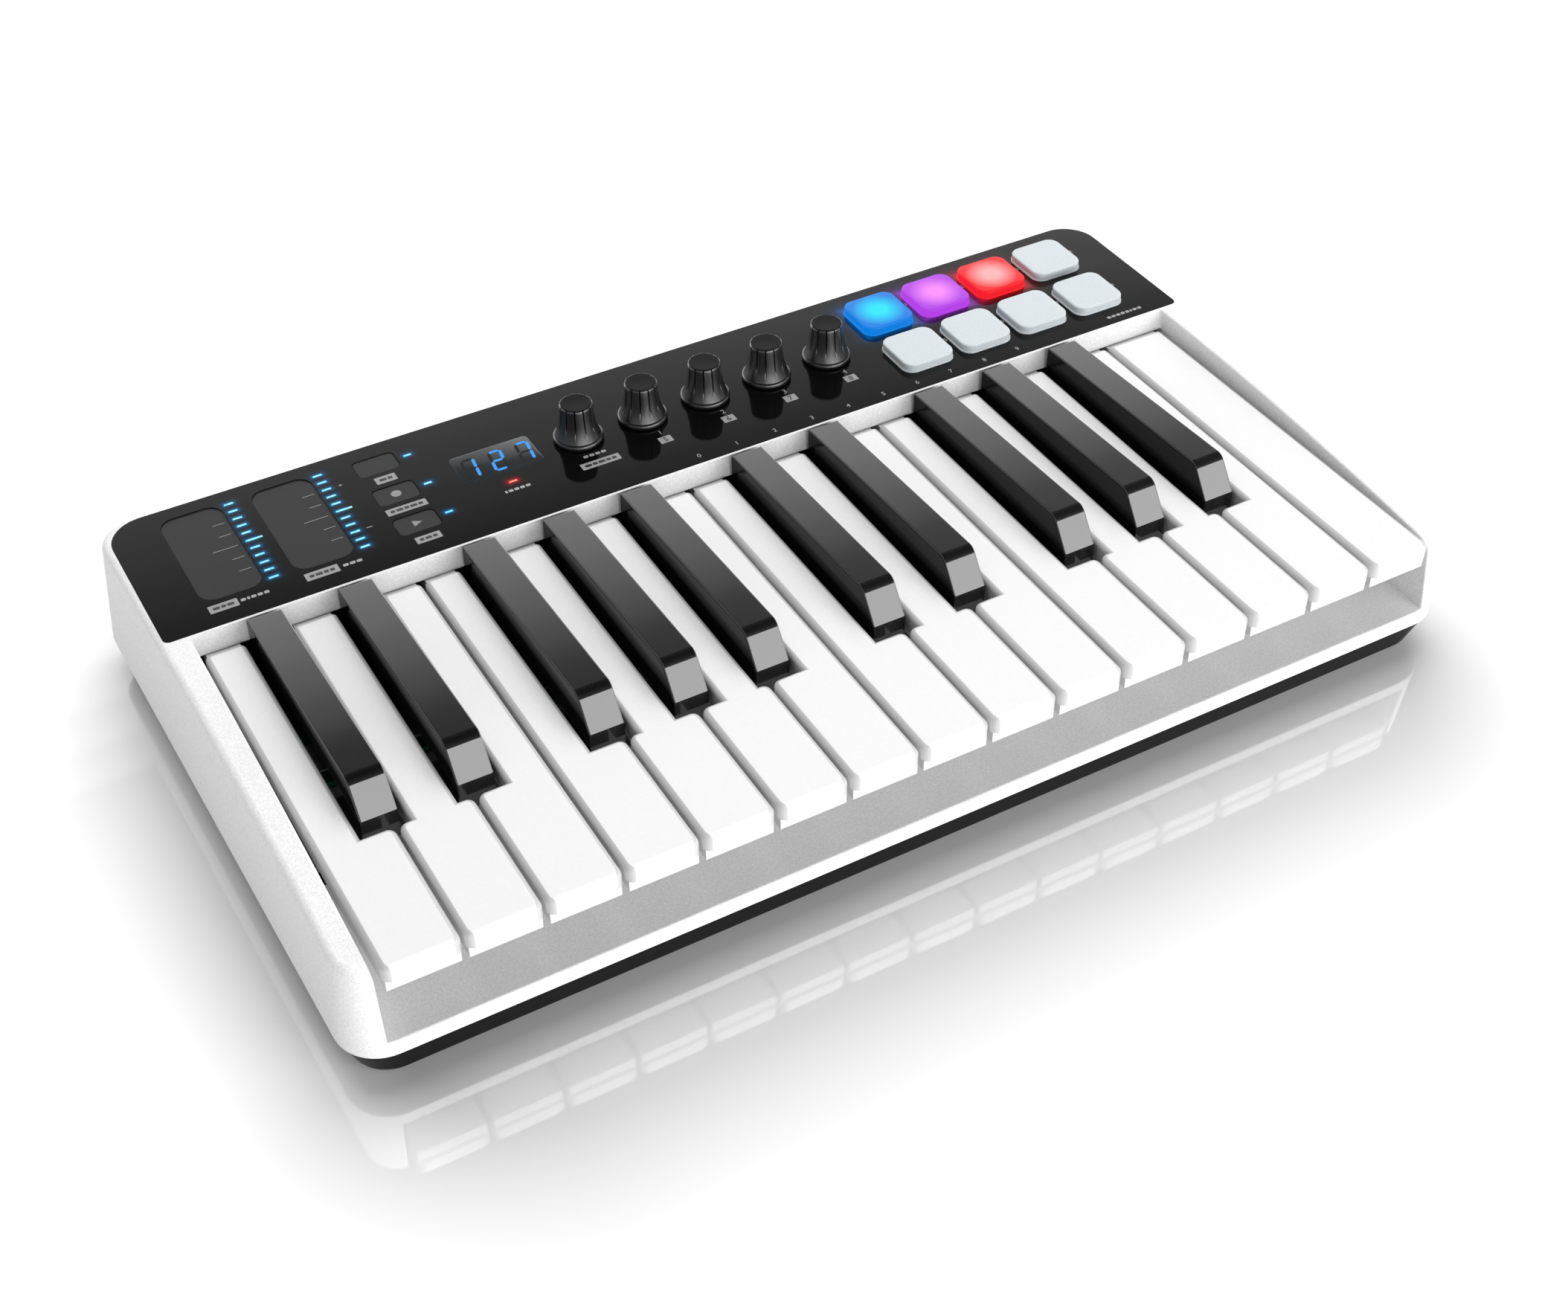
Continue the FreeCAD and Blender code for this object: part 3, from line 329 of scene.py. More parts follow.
def glow_on_panel(tree):
    """Light that the pads and lamps throw on the panel, as one colour by place."""
    x, y, _ = coordinates(tree, "Object")
    lit = []

    def add_glow(colour, dx, dy, glow):
        half_x, half_y, reach, strength = glow
        away = distance(tree, outside(tree, dx, half_x * MM), outside(tree, dy, half_y * MM))
        fall = math_node(tree, "EXPONENT", math_node(tree, "MULTIPLY", away, -1 / (reach * MM)))
        lit.append(mix_colour(tree, math_node(tree, "MULTIPLY", fall, strength), (0, 0, 0),
                              colour))

    def from_x(centre):
        return math_node(tree, "SUBTRACT", x, centre * MM)

    def from_row(depth):
        return math_node(tree, "SUBTRACT", y, row(depth))

    for (_, rim, _), centre in zip(PAD_LIGHTS, PAD_XS):
        add_glow(rim, from_x(centre), from_row(PAD_ROWS[0]), PAD_GLOW)
    pitch, last = LAMP_PITCH * MM, LAMP_PITCH * MIDDLE_LAMP * MM
    for centre in LAMP_COLUMNS:
        offset = from_row(MIDDLE_ROW)
        inside = math_node(tree, "MINIMUM", math_node(tree, "MAXIMUM", offset, -last), last)
        step = math_node(tree, "ROUND", math_node(tree, "DIVIDE", inside, pitch))
        nearest = math_node(tree, "MULTIPLY", step, pitch)
        add_glow(BLUE_GLOW, from_x(centre), math_node(tree, "SUBTRACT", offset, nearest),
                 STRIP_GLOW)
    for depth in BUTTON_ROWS:
        add_glow(BLUE_GLOW, from_x(STATUS_X), from_row(depth), STATUS_GLOW)
    add_glow(RED_GLOW, from_x(INPUT_LAMP[0]), from_row(INPUT_LAMP[1]), INPUT_GLOW)

    total = lit[0]
    for more in lit[1:]:
        total = mix_colour(tree, 1.0, total, more, "ADD")
    return total


def panel_material():
    mat, tree, shader = new_material("panel_black")
    fine = noise(tree, 2400.0, 2.0, 0.6)
    smear = noise(tree, 40.0, 4.0, 0.6)
    feed(tree, shader, {
        "Base Color": ramp(tree, fine, [(0.35, 0.0022), (0.65, 0.0036)]),
        "Roughness": spread(tree, smear, 0.05, 0.09),
        "Specular IOR Level": 0.15,
        "Emission Color": glow_on_panel(tree),
        "Emission Strength": 1.0})
    add_bump(tree, shader, fine, 0.000006, 0.08)
    return mat


def pad_material(name, x, y, light):
    """Silicone, milky where the pad is off. A lit pad glows from its middle outwards."""
    mat, tree, shader = new_material(name)
    fine = noise(tree, 1300.0, 3.0, 0.6)
    if light is None:
        feed(tree, shader, {
            "Base Color": ramp(tree, fine, [(0.3, (0.53, 0.575, 0.60)),
                                            (0.7, (0.58, 0.625, 0.65))]),
            "Subsurface Weight": 0.15,
            "Subsurface Scale": 0.5})
        shader.inputs["Subsurface Radius"].default_value = (0.004, 0.004, 0.004)
    else:
        core, rim, strength = light
        px, py, _ = coordinates(tree, "Object")
        away = distance(tree, math_node(tree, "SUBTRACT", px, x * MM),
                        math_node(tree, "SUBTRACT", py, y))
        share = math_node(tree, "DIVIDE", away, PAD_LIGHT_RADIUS * MM)
        low, high = (tuple(c * tint + 0.005 for c in rim) for tint in (0.05, 0.07))
        feed(tree, shader, {
            "Base Color": ramp(tree, fine, [(0.3, low), (0.7, high)]),
            "Emission Color": ramp(tree, share, [(0.0, core), (0.25, core), (0.85, rim),
                                                 (1.0, rim)]),
            "Emission Strength": strength,
            "Specular IOR Level": 0.25})
    feed(tree, shader, {"Roughness": spread(tree, fine, 0.42, 0.52)})
    add_bump(tree, shader, fine, 0.00002, 0.3)
    return mat


shell_white = plastic("shell_white", grey(0.79), 0.5, speckle=0.07, grain=1500.0,
                      bump=0.00006, bump_strength=0.5, specular=0.35)
tray_black = plastic("tray_black", grey(0.002), 0.3, speckle=0.2, bump=0.00002, specular=0.06)
touch_grey = plastic("touch_grey", grey(0.018), 0.42, speckle=0.06, grain=2200.0,
                     bump_strength=0.4, specular=0.22)
frame_plastic = plastic("frame_plastic", grey(0.10), 0.5)
rubber_black = plastic("rubber_black", grey(0.02), 0.8, bump=0.00005)
socket_black = plastic("socket_black", grey(0.02), 0.35)
board_green = plastic("board_green", (0.01, 0.12, 0.04), 0.4)
contact_grey = plastic("contact_grey", grey(0.25), 0.7)
segment_dim = plastic("segment_dim", grey(0.006), 0.3, speckle=0.1, specular=0.1)
bright_steel = steel("bright_steel", 0.6, 0.28)

ink_light = ink("ink_light", 0.30)
ink_tag = ink("ink_tag", 0.26)
ink_dark = ink("ink_dark", 0.02)
ink_touch = ink("ink_touch", 0.22)

lamp_blue = lamp("lamp_blue", (0.10, 0.66, 1.0), (0.42, 0.90, 1.0), 1.15)
lamp_deep_blue = lamp("lamp_deep_blue", (0.0, 0.30, 0.98), (0.0, 0.36, 0.98), 0.95)
lamp_red = lamp("lamp_red", (1.0, 0.05, 0.03), (1.0, 0.30, 0.22), 1.3)


def paint_cad_nodes():
    """Give every carried-over CAD node its material, by the start of its name."""
    for mat, starts in (
            (white_key_material(), ("white_key",)),
            (black_key_material(), ("black_key",)),
            (shell_white, ("top_case",)),
            (tray_black, ("bottom_case",)),
            (panel_material(), ("control_panel",)),
            (touch_grey, ("touch_strip", "button")),
            (frame_plastic, ("key_frame",)),
            (rubber_black, ("rubber_feet",)),
            (socket_black, ("audio_sockets", "encoders", "display_module")),
            (board_green, ("key_circuit_board", "panel_circuit_board")),
            (contact_grey, ("key_contact_strip",)),
            (bright_steel, ("key_pivot_rod", "key_springs", "case_screws", "usb_socket"))):
        for name, node in nodes.items():
            if name.startswith(starts):
                node.data.materials.clear()
                node.data.materials.append(mat)


paint_cad_nodes()


# ---------------------------------------------------------------- mesh building blocks

def finish_mesh(name, bm, mat, body, smooth_angle=35.0):
    """Turn a bmesh into a piece that rides on a body; sharper edges than the angle stay."""
    mesh = bpy.data.meshes.new(name)
    bmesh.ops.recalc_face_normals(bm, faces=bm.faces)
    for face in bm.faces:
        face.smooth = True
    for edge in bm.edges:
        if len(edge.link_faces) == 2:
            edge.smooth = edge.calc_face_angle(0.0) < math.radians(smooth_angle)
    bm.to_mesh(mesh)
    bm.free()
    obj = bpy.data.objects.new(name, mesh)
    bpy.context.scene.collection.objects.link(obj)
    mesh.materials.append(mat)
    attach(obj, body)
    return obj


def rounded_ring(half_x, half_y, radius, steps):
    """Points of a rounded rectangle about the origin, counter-clockwise, in millimetres."""
    points = []
    for cx, cy, start in ((1, 1, 0), (-1, 1, 90), (-1, -1, 180), (1, -1, 270)):
        for i in range(steps + 1):
            angle = math.radians(start + 90.0 * i / steps)
            points.append((cx * (half_x - radius) + radius * math.cos(angle),
                           cy * (half_y - radius) + radius * math.sin(angle)))
    return points


def loft(bm, rings):
    """A closed solid through rings of (x, y, z) points in metres, from the lowest up."""
    rings = [[bm.verts.new(point) for point in ring] for ring in rings]
    for low, high in zip(rings, rings[1:]):
        for i in range(len(low)):
            j = (i + 1) % len(low)
            bm.faces.new((low[i], low[j], high[j], high[i]))
    bm.faces.new(list(reversed(rings[0])))
    bm.faces.new(rings[-1])


def stack(bm, x, y, levels, steps):
    """A solid through rounded rectangles about x mm, y m: (half_x, half_y, radius, z in m)."""
    loft(bm, [[(x * MM + px * MM, y + py * MM, z)
               for px, py in rounded_ring(half_x, half_y, radius, steps)]
              for half_x, half_y, radius, z in levels])


def plate(bm, x, y, half_x, half_y, radius, bottom, thick):
    """A flat rounded rectangle: x and its sizes in mm, y, bottom and thick in metres."""
    stack(bm, x, y, [(half_x, half_y, radius, z) for z in (bottom, bottom + thick)], 5)


def prism(bm, outline, bottom, thick):
    """A flat plate with the given outline of (x, y) points in metres."""
    loft(bm, [[(x, y, z) for x, y in outline] for z in (bottom, bottom + thick)])


# ---------------------------------------------------------------- lamps

LAMP_HALF_DEPTH = 0.38
LAMP_HALF_LENGTH = 1.5
MIDDLE_LAMP_SHAPE = (1.1, 2.7)         # shifted to the right by, half length
STATUS_HALF_LENGTH = 1.25
INPUT_HALF_LENGTH = 1.45
LAMP_CORNERS = (0.15, 0.1)             # radius below and at the top
LAMP_RISE = 0.06                       # above the panel
LAMP_BEVEL = (0.06, 0.05)              # inwards and downwards


def build_lamps():
    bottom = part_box("led_light_pipes")[0].z
    top = PANEL_TOP + LAMP_RISE * MM
    bevel_in, bevel_down = LAMP_BEVEL

    def pipe(bm, x, depth, half_x):
        half_y = LAMP_HALF_DEPTH
        stack(bm, x, row(depth), [
            (half_x, half_y, LAMP_CORNERS[0], bottom),
            (half_x, half_y, LAMP_CORNERS[0], top - bevel_down * MM),
            (half_x - bevel_in, half_y - bevel_in, LAMP_CORNERS[1], top)], 3)

    strip, status, signal = bmesh.new(), bmesh.new(), bmesh.new()
    for column in LAMP_COLUMNS:
        for i in range(-MIDDLE_LAMP, MIDDLE_LAMP + 1):
            shift, half_x = MIDDLE_LAMP_SHAPE if i == 0 else (0.0, LAMP_HALF_LENGTH)
            pipe(strip, column + shift, MIDDLE_ROW + LAMP_PITCH * i, half_x)
    for depth in BUTTON_ROWS:
        pipe(status, STATUS_X, depth, STATUS_HALF_LENGTH)
    pipe(signal, *INPUT_LAMP, INPUT_HALF_LENGTH)
    lamps = finish_mesh("strip_lamps", strip, lamp_blue, "case")
    finish_mesh("status_lamps", status, lamp_blue, "case")
    finish_mesh("input_lamp", signal, lamp_red, "case")
    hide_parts("led_light_pipes")


build_lamps()


# ---------------------------------------------------------------- numeric display

INK = 0.03 * MM                        # thickness of printed marks
LIT_INK = 1.4 * INK                    # lit segments stand a little higher
WINDOW_CORNER = 1.8
WINDOW_BEVEL = (0.15, 0.1)             # inwards and downwards
SHOWN = "127"
LIT = {"1": "bc", "2": "abged", "7": "abc"}
DIGIT_WIDTH, DIGIT_HEIGHT = 5.0, 11.0
DIGIT_PITCH = 9.6
DIGIT_SLANT = 0.125
FIRST_DIGIT = (-9.25, -0.3)            # from the window's centre
SEGMENT_WIDTH = 1.05
SEGMENT_GAP = 0.16
POINT_RADIUS = 0.5
POINT_SHIFT = 3.2                      # of the decimal point, from the digit's centre


def segment_outlines():
    """The seven bars of a digit, each a six-sided outline, about the digit's centre in mm."""
    w, h, t, gap = DIGIT_WIDTH / 2, DIGIT_HEIGHT / 2, SEGMENT_WIDTH / 2, SEGMENT_GAP

    def across(y):
        return [(-w + t + gap, y), (-w + 2 * t + gap, y + t), (w - 2 * t - gap, y + t),
                (w - t - gap, y), (w - 2 * t - gap, y - t), (-w + 2 * t + gap, y - t)]

    def upright(x, y0, y1):
        return [(x, y0 + gap), (x + t, y0 + t + gap), (x + t, y1 - t - gap), (x, y1 - gap),
                (x - t, y1 - t - gap), (x - t, y0 + t + gap)]

    right, left, top, bottom = w - t, t - w, h - t, t - h
    return {"a": across(top), "g": across(0.0), "d": across(bottom),
            "b": upright(right, 0.0, top), "c": upright(right, bottom, 0.0),
            "f": upright(left, 0.0, top), "e": upright(left, bottom, 0.0)}


def build_display():
    x, depth, length, width = WINDOW
    low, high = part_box("display_window")
    half_x, half_y = length / 2, width / 2
    bevel_in, bevel_down = WINDOW_BEVEL
    bm = bmesh.new()
    stack(bm, x, row(depth), [
        (half_x, half_y, WINDOW_CORNER, low.z),
        (half_x, half_y, WINDOW_CORNER, high.z - bevel_down * MM),
        (half_x - bevel_in, half_y - bevel_in, WINDOW_CORNER - 0.1, high.z)], 8)
    window = finish_mesh("smoked_window", bm, window_material(), "case")
    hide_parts("display_window")

    lit_bm, dim_bm = bmesh.new(), bmesh.new()
    outlines = segment_outlines()
    middle = row(depth + FIRST_DIGIT[1])
    for place, digit in enumerate(SHOWN):
        centre = x + FIRST_DIGIT[0] + DIGIT_PITCH * place
        for key, outline in outlines.items():
            points = [((centre + px + py * DIGIT_SLANT) * MM, middle + py * MM)
                      for px, py in outline]
            if key in LIT[digit]:
                prism(lit_bm, points, high.z, LIT_INK)
            else:
                prism(dim_bm, points, high.z, INK)
        plate(dim_bm, centre + POINT_SHIFT, middle + (POINT_RADIUS - DIGIT_HEIGHT / 2) * MM,
              POINT_RADIUS, POINT_RADIUS, POINT_RADIUS * 0.9, high.z, INK)
    finish_mesh("segments_lit", lit_bm, lamp_deep_blue, "case")
    finish_mesh("segments_dim", dim_bm, segment_dim, "case")


build_display()


# ---------------------------------------------------------------- printed marks

# numbers in front of the keys, and numbers beside the knobs and pads: x and depth from the
# middle of the knob or pad, or depth on the panel, and height
KEY_NUMBER_XS = (-4.7, 9.3, 23.6, 37.8, 51.8, 65.6, 79.0, 92.6, 106.2, 119.8)
KEY_NUMBER_ROW, KEY_NUMBER_HEIGHT = 3.6, 1.9
KNOB_NUMBER_SHIFT, KNOB_NUMBER_ROW, KNOB_NUMBER_HEIGHT = 1.1, 21.4, 2.2
KNOB_TAG_SHIFT, KNOB_TAG_ROW, KNOB_TAG_NUMBER_HEIGHT = 1.0, 17.0, 2.3
KNOB_TAG_HALF = (2.3, 1.75)
PAD_NUMBER_SHIFT, PAD_NUMBER_HEIGHT = (12.6, 1.9), 1.8
PLUS = (-112.0, 47.0, 1.9)             # x, depth, height
MINUS = (-111.9, 22.0, 1.05, 0.14)     # x, depth, half length, half width
LINE_CORNER = 0.05
SCALE_LINE_HALF = 0.13
CAP_HEIGHT = 0.70                      # of a font's size
DASH_GAP = 0.45
DASH_HEIGHT = 1.25
MARK_RADIUS = 0.2
TAG_MARGIN = 1.3

# a bar pattern in place of each word: x, depth, length, (height of its tag,) relative lengths
TAGS = (
    (-164.4, 7.8, 9.2, 3.7, (3, 2, 3)),
    (-132.9, 8.0, 10.8, 3.8, (2, 3, 2, 2)),
    (-98.0, 42.9, 7.0, 3.7, (3, 2)),
    (-97.9, 25.5, 13.6, 3.4, (2, 3, 2, 3, 2)),
    (-97.8, 7.9, 8.4, 3.4, (2, 3, 2)),
    (-33.9, 16.6, 13.8, 3.4, (3, 2, 3, 2, 2)),
)
WORDS = (
    (-154.5, 7.8, 9.0, (2, 1, 2, 2, 2)),
    (-123.0, 8.0, 6.2, (2, 2, 2)),
    (-63.2, 17.0, 8.8, (1, 2, 2, 2, 2)),
    (-33.8, 21.4, 8.0, (2, 2, 2, 2)),
    (165.2, 3.6, 14.4, (2, 2, 2, 2, 2, 1, 2, 2)),
)
# scale lines of a touch strip: depth, left end from the strip's middle, length
SCALE_LINES = ((47.2, 4.8, 3.9), (40.9, 4.8, 3.9), (34.3, 0.6, 8.0), (28.2, 4.8, 3.9),
               (21.8, 4.8, 3.9))


def add_text(bm, text, x, depth, height, bottom, weight=0.0):
    """A number or sign as thin raised ink, centred on x and depth in millimetres."""
    curve = bpy.data.curves.new("ink_text", "FONT")
    curve.body = text
    curve.size = height * MM / CAP_HEIGHT
    curve.align_x = "CENTER"
    curve.align_y = "CENTER"
    curve.offset = weight * MM
    curve.extrude = INK / 2
    curve.resolution_u = 5
    holder = bpy.data.objects.new("ink_text", curve)
    bpy.context.scene.collection.objects.link(holder)
    bpy.context.view_layer.update()
    mesh = bpy.data.meshes.new_from_object(holder)
    xs = [vertex.co.x for vertex in mesh.vertices]
    ys = [vertex.co.y for vertex in mesh.vertices]
    mesh.transform(Matrix.Translation((x * MM - (min(xs) + max(xs)) / 2,
                                       row(depth) - (min(ys) + max(ys)) / 2,
                                       bottom + INK / 2)))
    bm.from_mesh(mesh)
    bpy.data.objects.remove(holder)
    bpy.data.meshes.remove(mesh)


def dashes(bm, x, depth, length, bottom, pattern):
    """A row of plain bars in place of a word: pattern gives their relative lengths."""
    unit = (length - DASH_GAP * (len(pattern) - 1)) / sum(pattern)
    left = x - length / 2
    half_y = DASH_HEIGHT / 2
    for share in pattern:
        half = unit * share / 2
        plate(bm, left + half, row(depth), half, half_y, min(half, half_y) * 0.5, bottom, INK)
        left += 2 * half + DASH_GAP


def build_marks():
    light, tags, dark, touch = (bmesh.new() for _ in range(4))
    top = PANEL_TOP
    for digit, x in enumerate(KEY_NUMBER_XS):
        add_text(light, str(digit), x, KEY_NUMBER_ROW, KEY_NUMBER_HEIGHT, top)
    for number, x in enumerate(KNOB_XS[1:], start=1):
        add_text(light, str(number), x + KNOB_NUMBER_SHIFT, KNOB_NUMBER_ROW,
                 KNOB_NUMBER_HEIGHT, top)
        plate(tags, x + KNOB_TAG_SHIFT, row(KNOB_TAG_ROW), *KNOB_TAG_HALF, MARK_RADIUS, top, INK)
        add_text(dark, str(number + 4), x + KNOB_TAG_SHIFT, KNOB_TAG_ROW,
                 KNOB_TAG_NUMBER_HEIGHT, top + INK, weight=0.03)
    pads = [(x, depth) for depth in PAD_ROWS for x in PAD_XS]
    right, back = PAD_NUMBER_SHIFT
    for number, (x, depth) in enumerate(pads, start=1):
        add_text(light, str(number), x + right, depth + back, PAD_NUMBER_HEIGHT, top)
    add_text(light, "+", *PLUS, top)
    x, depth, half_x, half_y = MINUS
    plate(light, x, row(depth), half_x, half_y, LINE_CORNER, top, INK)

    for x, depth, length, height, pattern in TAGS:
        plate(tags, x, row(depth), length / 2, height / 2, MARK_RADIUS, top, INK)
        dashes(dark, x, depth, length - 2 * TAG_MARGIN, top + INK, pattern)
    for x, depth, length, pattern in WORDS:
        dashes(light, x, depth, length, top, pattern)

    strip_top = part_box("touch_strip_left")[1].z
    for x in STRIP_XS:
        for depth, left, length in SCALE_LINES:
            plate(touch, x + left + length / 2, row(depth), length / 2, SCALE_LINE_HALF,
                  LINE_CORNER, strip_top, INK)
    finish_mesh("panel_numbers", light, ink_light, "case")
    finish_mesh("panel_tags", tags, ink_tag, "case")
    finish_mesh("panel_tag_marks", dark, ink_dark, "case")
    finish_mesh("touch_scale_marks", touch, ink_touch, "case")


def build_button_marks():
    """A dot on the second button and an arrow on the third, in mm about its centre."""
    dot = [(1.7 * math.cos(math.tau * i / 32), 1.7 * math.sin(math.tau * i / 32))
           for i in range(32)]
    arrow = [(-1.3, -1.5), (1.7, 0.0), (-1.3, 1.5)]
    for number, outline in ((2, dot), (3, arrow)):
        low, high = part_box("button_%d" % number)
        y = (low.y + high.y) / 2
        bm = bmesh.new()
        prism(bm, [((BUTTON_X + px) * MM, y + py * MM) for px, py in outline], high.z, INK)
        finish_mesh("button_%d_mark" % number, bm, ink_touch, "button_%d" % number)


build_marks()
build_button_marks()


# ---------------------------------------------------------------- pads

PAD_CORNER = 4.0
PAD_EDGE = 0.6                         # radius between the sides and the top
PAD_EDGE_STEPS = 6
PAD_FLAT_INSET, PAD_FLAT_CORNER = 3.0, 2.0
FLANGE_OUT, FLANGE_THICK, FLANGE_CORNER = 1.0, 1.0, 5.0
# the sides of a pad: outset, corner radius, height above the panel
PAD_SIDES = ((0.25, 4.2, 0.35), (0.12, 4.1, 0.5), (0.0, 4.0, 0.55))


def pad_levels(bottom, top):
    """Rounded rectangles of a pad from the bottom of its flange to its top."""
    def level(outset, corner, z):
        return (PAD_HALF + outset, PAD_HALF + outset, corner, z)

    flange_top = bottom + FLANGE_THICK * MM
    outset, corner, _ = PAD_SIDES[0]
    levels = [level(FLANGE_OUT, FLANGE_CORNER, bottom),
              level(FLANGE_OUT, FLANGE_CORNER, flange_top),
              level(outset, corner, flange_top + 0.02 * MM)]
    for outset, corner, height in PAD_SIDES:
        levels.append(level(outset, corner, PANEL_TOP + height * MM))
    for i in range(PAD_EDGE_STEPS + 1):
        angle = math.radians(90.0 * i / PAD_EDGE_STEPS)
        inset = PAD_EDGE * (1 - math.cos(angle))
        levels.append(level(-inset, PAD_CORNER - inset * 0.8,
                            top - PAD_EDGE * MM * (1 - math.sin(angle))))
    levels.append(level(-PAD_FLAT_INSET, PAD_FLAT_CORNER, top))
    return levels


def build_pads():
    xs = PAD_XS * len(PAD_ROWS)
    lights = PAD_LIGHTS + (None,) * (len(xs) - len(PAD_LIGHTS))
    for number, (x, light) in enumerate(zip(xs, lights), start=1):
        name = "pad_%d" % number
        low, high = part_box(name)
        y = (low.y + high.y) / 2
        bm = bmesh.new()
        stack(bm, x, y, pad_levels(low.z, high.z), 10)
        mat = pad_material("silicone_%d" % number, x, y, light)
        obj = finish_mesh("silicone_pad_%d" % number, bm, mat, name, 50)
        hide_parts(name)


build_pads()


# ---------------------------------------------------------------- knobs

KNOB_FOOT = 0.4                        # gap between the panel and the knob
STEM_RADIUS = 3.0
# radius in mm, share of the height above the foot, depth of the grooves there in mm
KNOB_PROFILE = (
    (STEM_RADIUS, 0.0, 0), (8.0, 0.0, 0), (8.3, 0.012, 0), (8.4, 0.035, 0), (8.4, 0.07, 0),
    (8.3, 0.1, 0), (8.1, 0.122, 0), (7.86, 0.132, 0), (7.62, 0.138, 0), (7.5, 0.16, 0),
    (7.3, 0.2, 0), (6.95, 0.27, 0), (6.62, 0.35, 0.13), (6.36, 0.43, 0.39),
    (6.13, 0.52, 0.546), (5.94, 0.62, 0.65), (5.78, 0.73, 0.715), (5.64, 0.84, 0.78),
    (5.54, 0.93, 0.845), (5.46, 0.97, 0.91), (5.3, 0.99, 0.91), (5.08, 1.0, 0.65),
    (4.8, 1.0, 0), (2.5, 0.994, 0))
GROOVES = 12
# half width of a groove, and the places of the points from the middle of one groove to the
# next, as shares of their pitch
GROOVE_HALF = 0.085
GROOVE_STEPS = (-0.5, -0.3, -0.14, -GROOVE_HALF, -0.045, 0.0, 0.045, GROOVE_HALF, 0.14, 0.3)


def fluted_ring(x, y, z, radius, cut):
    """A circle about x, y with grooves this deep cut into it, in metres."""
    points = []
    for i in range(GROOVES):
        for step in GROOVE_STEPS:
            angle = math.tau * (i + step) / GROOVES
            here = radius - cut * max(0.0, 1 - abs(step) / GROOVE_HALF)
            points.append((x + here * math.cos(angle), y + here * math.sin(angle), z))
    return points


def build_knobs():
    mat = knob_material()
    for number, x in enumerate(KNOB_XS, start=1):
        name = "knob_%d" % number
        low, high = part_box(name)
        y = (low.y + high.y) / 2
        foot = PANEL_TOP + KNOB_FOOT * MM
        rings = [fluted_ring(x * MM, y, low.z, STEM_RADIUS * MM, 0)]
        for radius, share, cut in KNOB_PROFILE:
            z = foot + (high.z - foot) * share
            rings.append(fluted_ring(x * MM, y, z, radius * MM, cut * MM))
        bm = bmesh.new()
        loft(bm, rings)
        obj = finish_mesh("fluted_knob_%d" % number, bm, mat, name, 40)
        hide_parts(name)


build_knobs()


# ---------------------------------------------------------------- floor, lights and camera
# sizes and places in metres

FLOOR_HALF = 6.0
GLOW_BOX = (0.13, 0.10)                # half sizes of the floor's middle that gets no painted light
GLOW_REACH = 1.2

# name, place, aim, width, height, radiance, rays that don't see it
LIGHTS = (
    ("overhead_softbox", (0.2, 0.5, 1.2), (0.0, 0.0, 0.03), 1.5, 1.2, 3.4, ("glossy",)),
    ("front_softbox", (0.44, -1.03, 0.50), (0.0, -0.05, 0.05), 1.15, 0.30, 4.4, ()),
    ("front_fill", (0.15, -1.1, 0.22), (0.0, -0.1, 0.05), 1.8, 0.40, 4.7, ("glossy",)),
    ("front_sheen", (0.15, -1.11, 0.22), (0.0, -0.1, 0.05), 1.8, 0.40, 1.4, ("diffuse",)),
)
# a wall of light far behind the keyboard that fades out upwards: bottom, top, radiance
BACK_LIGHTS = ((0.0, 0.62, 1.4), (0.62, 0.66, 1.2), (0.66, 0.70, 0.95), (0.70, 0.74, 0.65),
               (0.74, 0.78, 0.35))
BACK_X, BACK_Y, BACK_WIDTH = 0.45, 0.9, 2.1

CAMERA_PLACE = (-0.27155, -0.49001, 0.48911)
CAMERA_FORWARD = (0.36715, 0.65657, -0.65887)
CAMERA_RIGHT = (0.87026, -0.49256, -0.00590)
CAMERA_LENS, CAMERA_SENSOR = 51.94, 36.0         # in millimetres


def floor_material():
    """White and a little glossy, with painted light that grows away from the keyboard, so that a
    painted shadow is left round it.
    """
    mat = bpy.data.materials.new("floor_white")
    mat.use_nodes = True
    tree = mat.node_tree
    tree.nodes.clear()
    diffuse = tree.nodes.new("ShaderNodeBsdfDiffuse")
    feed(tree, diffuse, {"Color": grey(0.61)})
    gloss = tree.nodes.new("ShaderNodeBsdfGlossy")
    feed(tree, gloss, {"Color": grey(0.17), "Roughness": 0.035})
    x, y, _ = coordinates(tree, "Object")
    away = distance(tree, outside(tree, x, GLOW_BOX[0]), outside(tree, y, GLOW_BOX[1]))
    # painted light: emission that is zero round the keyboard and grows with the distance from it
    painted_floor_light = ramp(tree, math_node(tree, "DIVIDE", away, GLOW_REACH),
                [(0.036, 0.0), (0.085, 0.42), (0.3, 0.52), (1.0, 0.75)])
    glow = tree.nodes.new("ShaderNodeEmission")
    feed(tree, glow, {"Strength": painted_floor_light})
    surface = diffuse.outputs[0]
    for layer in (gloss, glow):
        add = tree.nodes.new("ShaderNodeAddShader")
        feed(tree, add, {0: surface, 1: layer.outputs[0]})
        surface = add.outputs[0]
    feed(tree, tree.nodes.new("ShaderNodeOutputMaterial"), {"Surface": surface})
    return mat


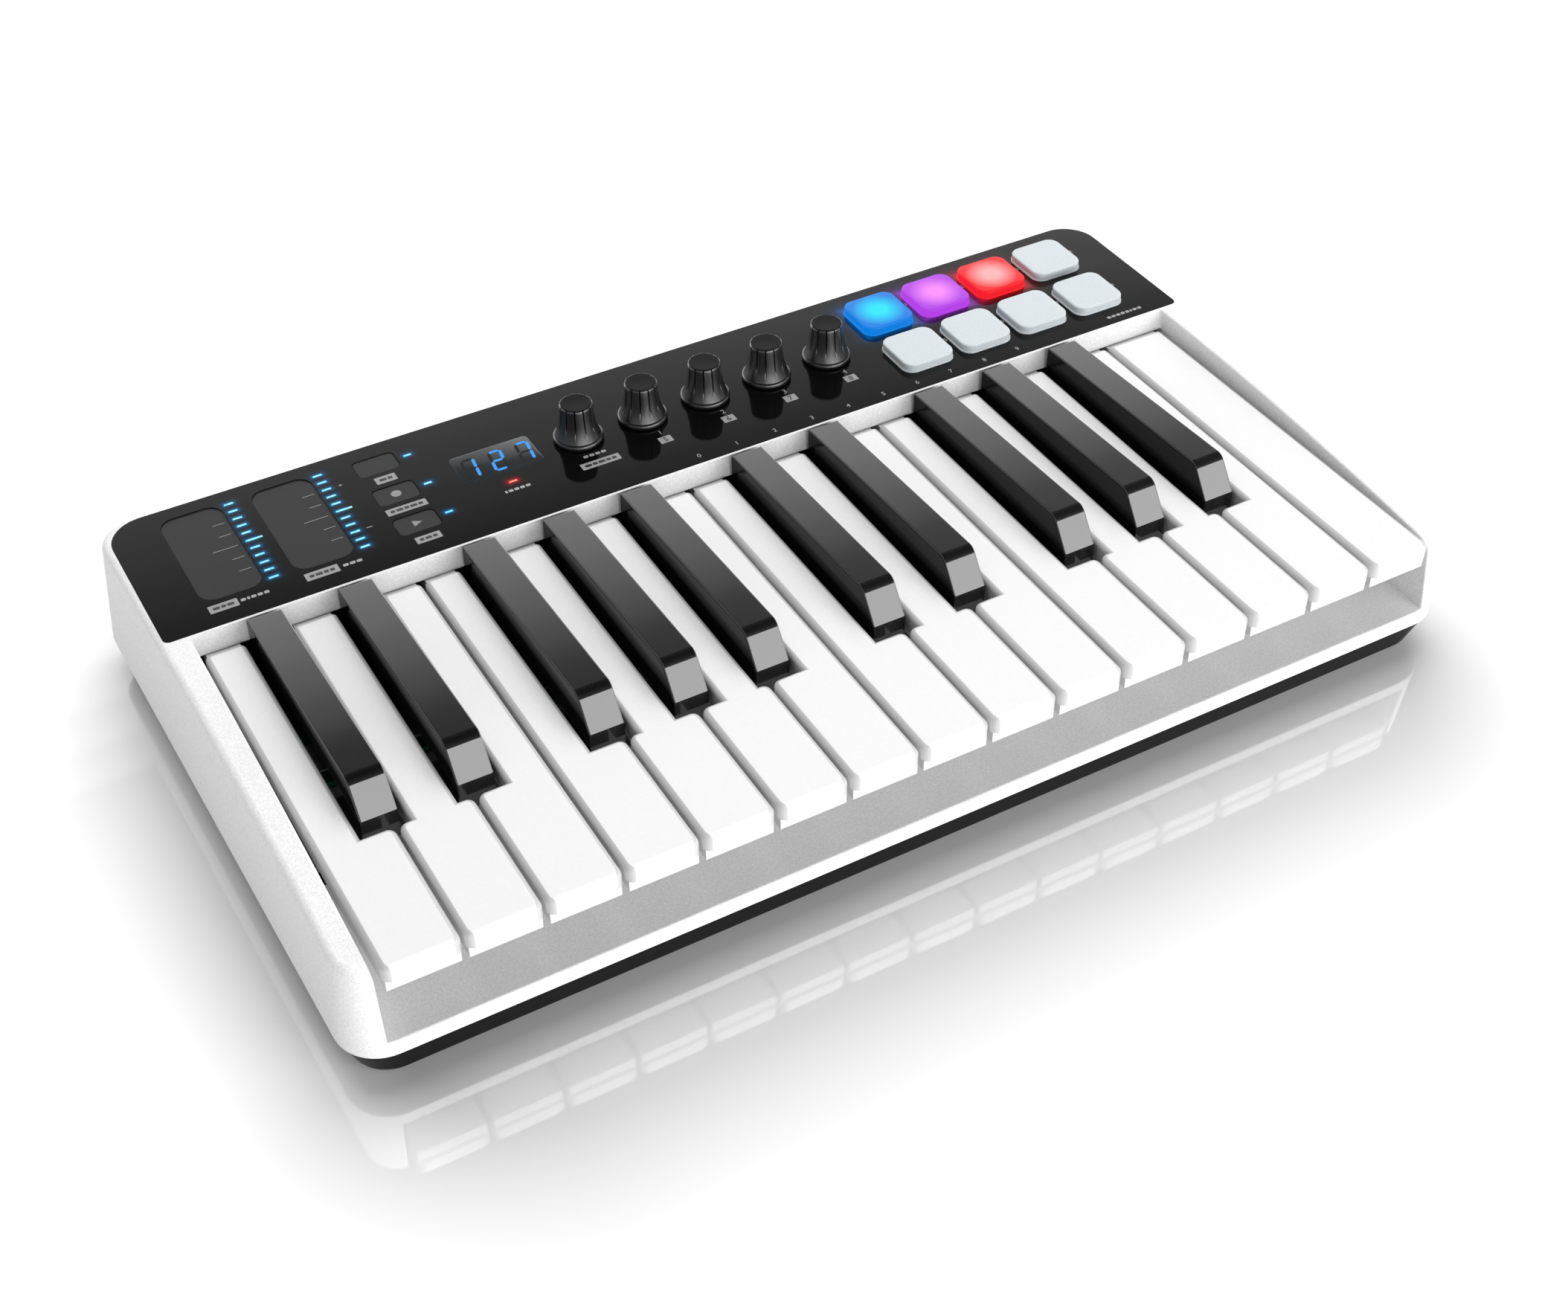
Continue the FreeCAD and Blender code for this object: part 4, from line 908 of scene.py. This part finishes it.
def build_floor():
    bm = bmesh.new()
    bmesh.ops.create_grid(bm, x_segments=1, y_segments=1, size=FLOOR_HALF)
    mesh = bpy.data.meshes.new("floor")
    bm.to_mesh(mesh)
    bm.free()
    mesh.materials.append(floor_material())
    floor = bpy.data.objects.new("floor", mesh)
    bpy.context.scene.collection.objects.link(floor)


def area_light(name, place, aim, width, height, radiance, unseen_by):
    light = bpy.data.lights.new(name, "AREA")
    light.shape = "RECTANGLE"
    light.size = width
    light.size_y = height
    light.energy = radiance * math.pi * width * height
    obj = bpy.data.objects.new(name, light)
    obj.location = place
    obj.rotation_euler = (Vector(aim) - Vector(place)).to_track_quat("-Z", "Y").to_euler()
    for ray in unseen_by:
        setattr(obj, "visible_" + ray, False)
    bpy.context.scene.collection.objects.link(obj)


def build_lights():
    for light in LIGHTS:
        area_light(*light)
    for bottom, top, radiance in BACK_LIGHTS:
        middle = (bottom + top) / 2
        area_light("back_light", (BACK_X, BACK_Y, middle), (BACK_X, 0.0, middle), BACK_WIDTH,
                   top - bottom, radiance, ("camera", "diffuse"))


def build_world():
    """A studio that is bright below and dark above, and darker towards the left."""
    world = bpy.data.worlds.new("studio")
    world.use_nodes = True
    tree = world.node_tree
    x, _, z = coordinates(tree, "Generated")
    colour = ramp(tree, z, [(0.0, 0.85), (0.5, 0.55), (0.62, 0.22), (0.8, 0.12), (1.0, 0.03)])
    feed(tree, tree.nodes["Background"], {
        "Color": colour, "Strength": spread(tree, x, 0.48, 1.0, start=-1.0, end=0.0)})
    bpy.context.scene.world = world
    bpy.context.scene.view_settings.view_transform = "Standard"


def build_camera():
    data = bpy.data.cameras.new("camera")
    data.sensor_fit = "HORIZONTAL"
    data.sensor_width = CAMERA_SENSOR
    data.lens = CAMERA_LENS
    data.clip_start = 0.01
    camera = bpy.data.objects.new("camera", data)
    bpy.context.scene.collection.objects.link(camera)
    forward = Vector(CAMERA_FORWARD).normalized()
    right = Vector(CAMERA_RIGHT)
    right = (right - forward * right.dot(forward)).normalized()
    up = right.cross(forward)
    turn = Matrix((right, up, -forward)).transposed()
    camera.matrix_world = Matrix.Translation(CAMERA_PLACE) @ turn.to_4x4()
    bpy.context.scene.camera = camera


build_floor()
build_lights()
build_world()
build_camera()
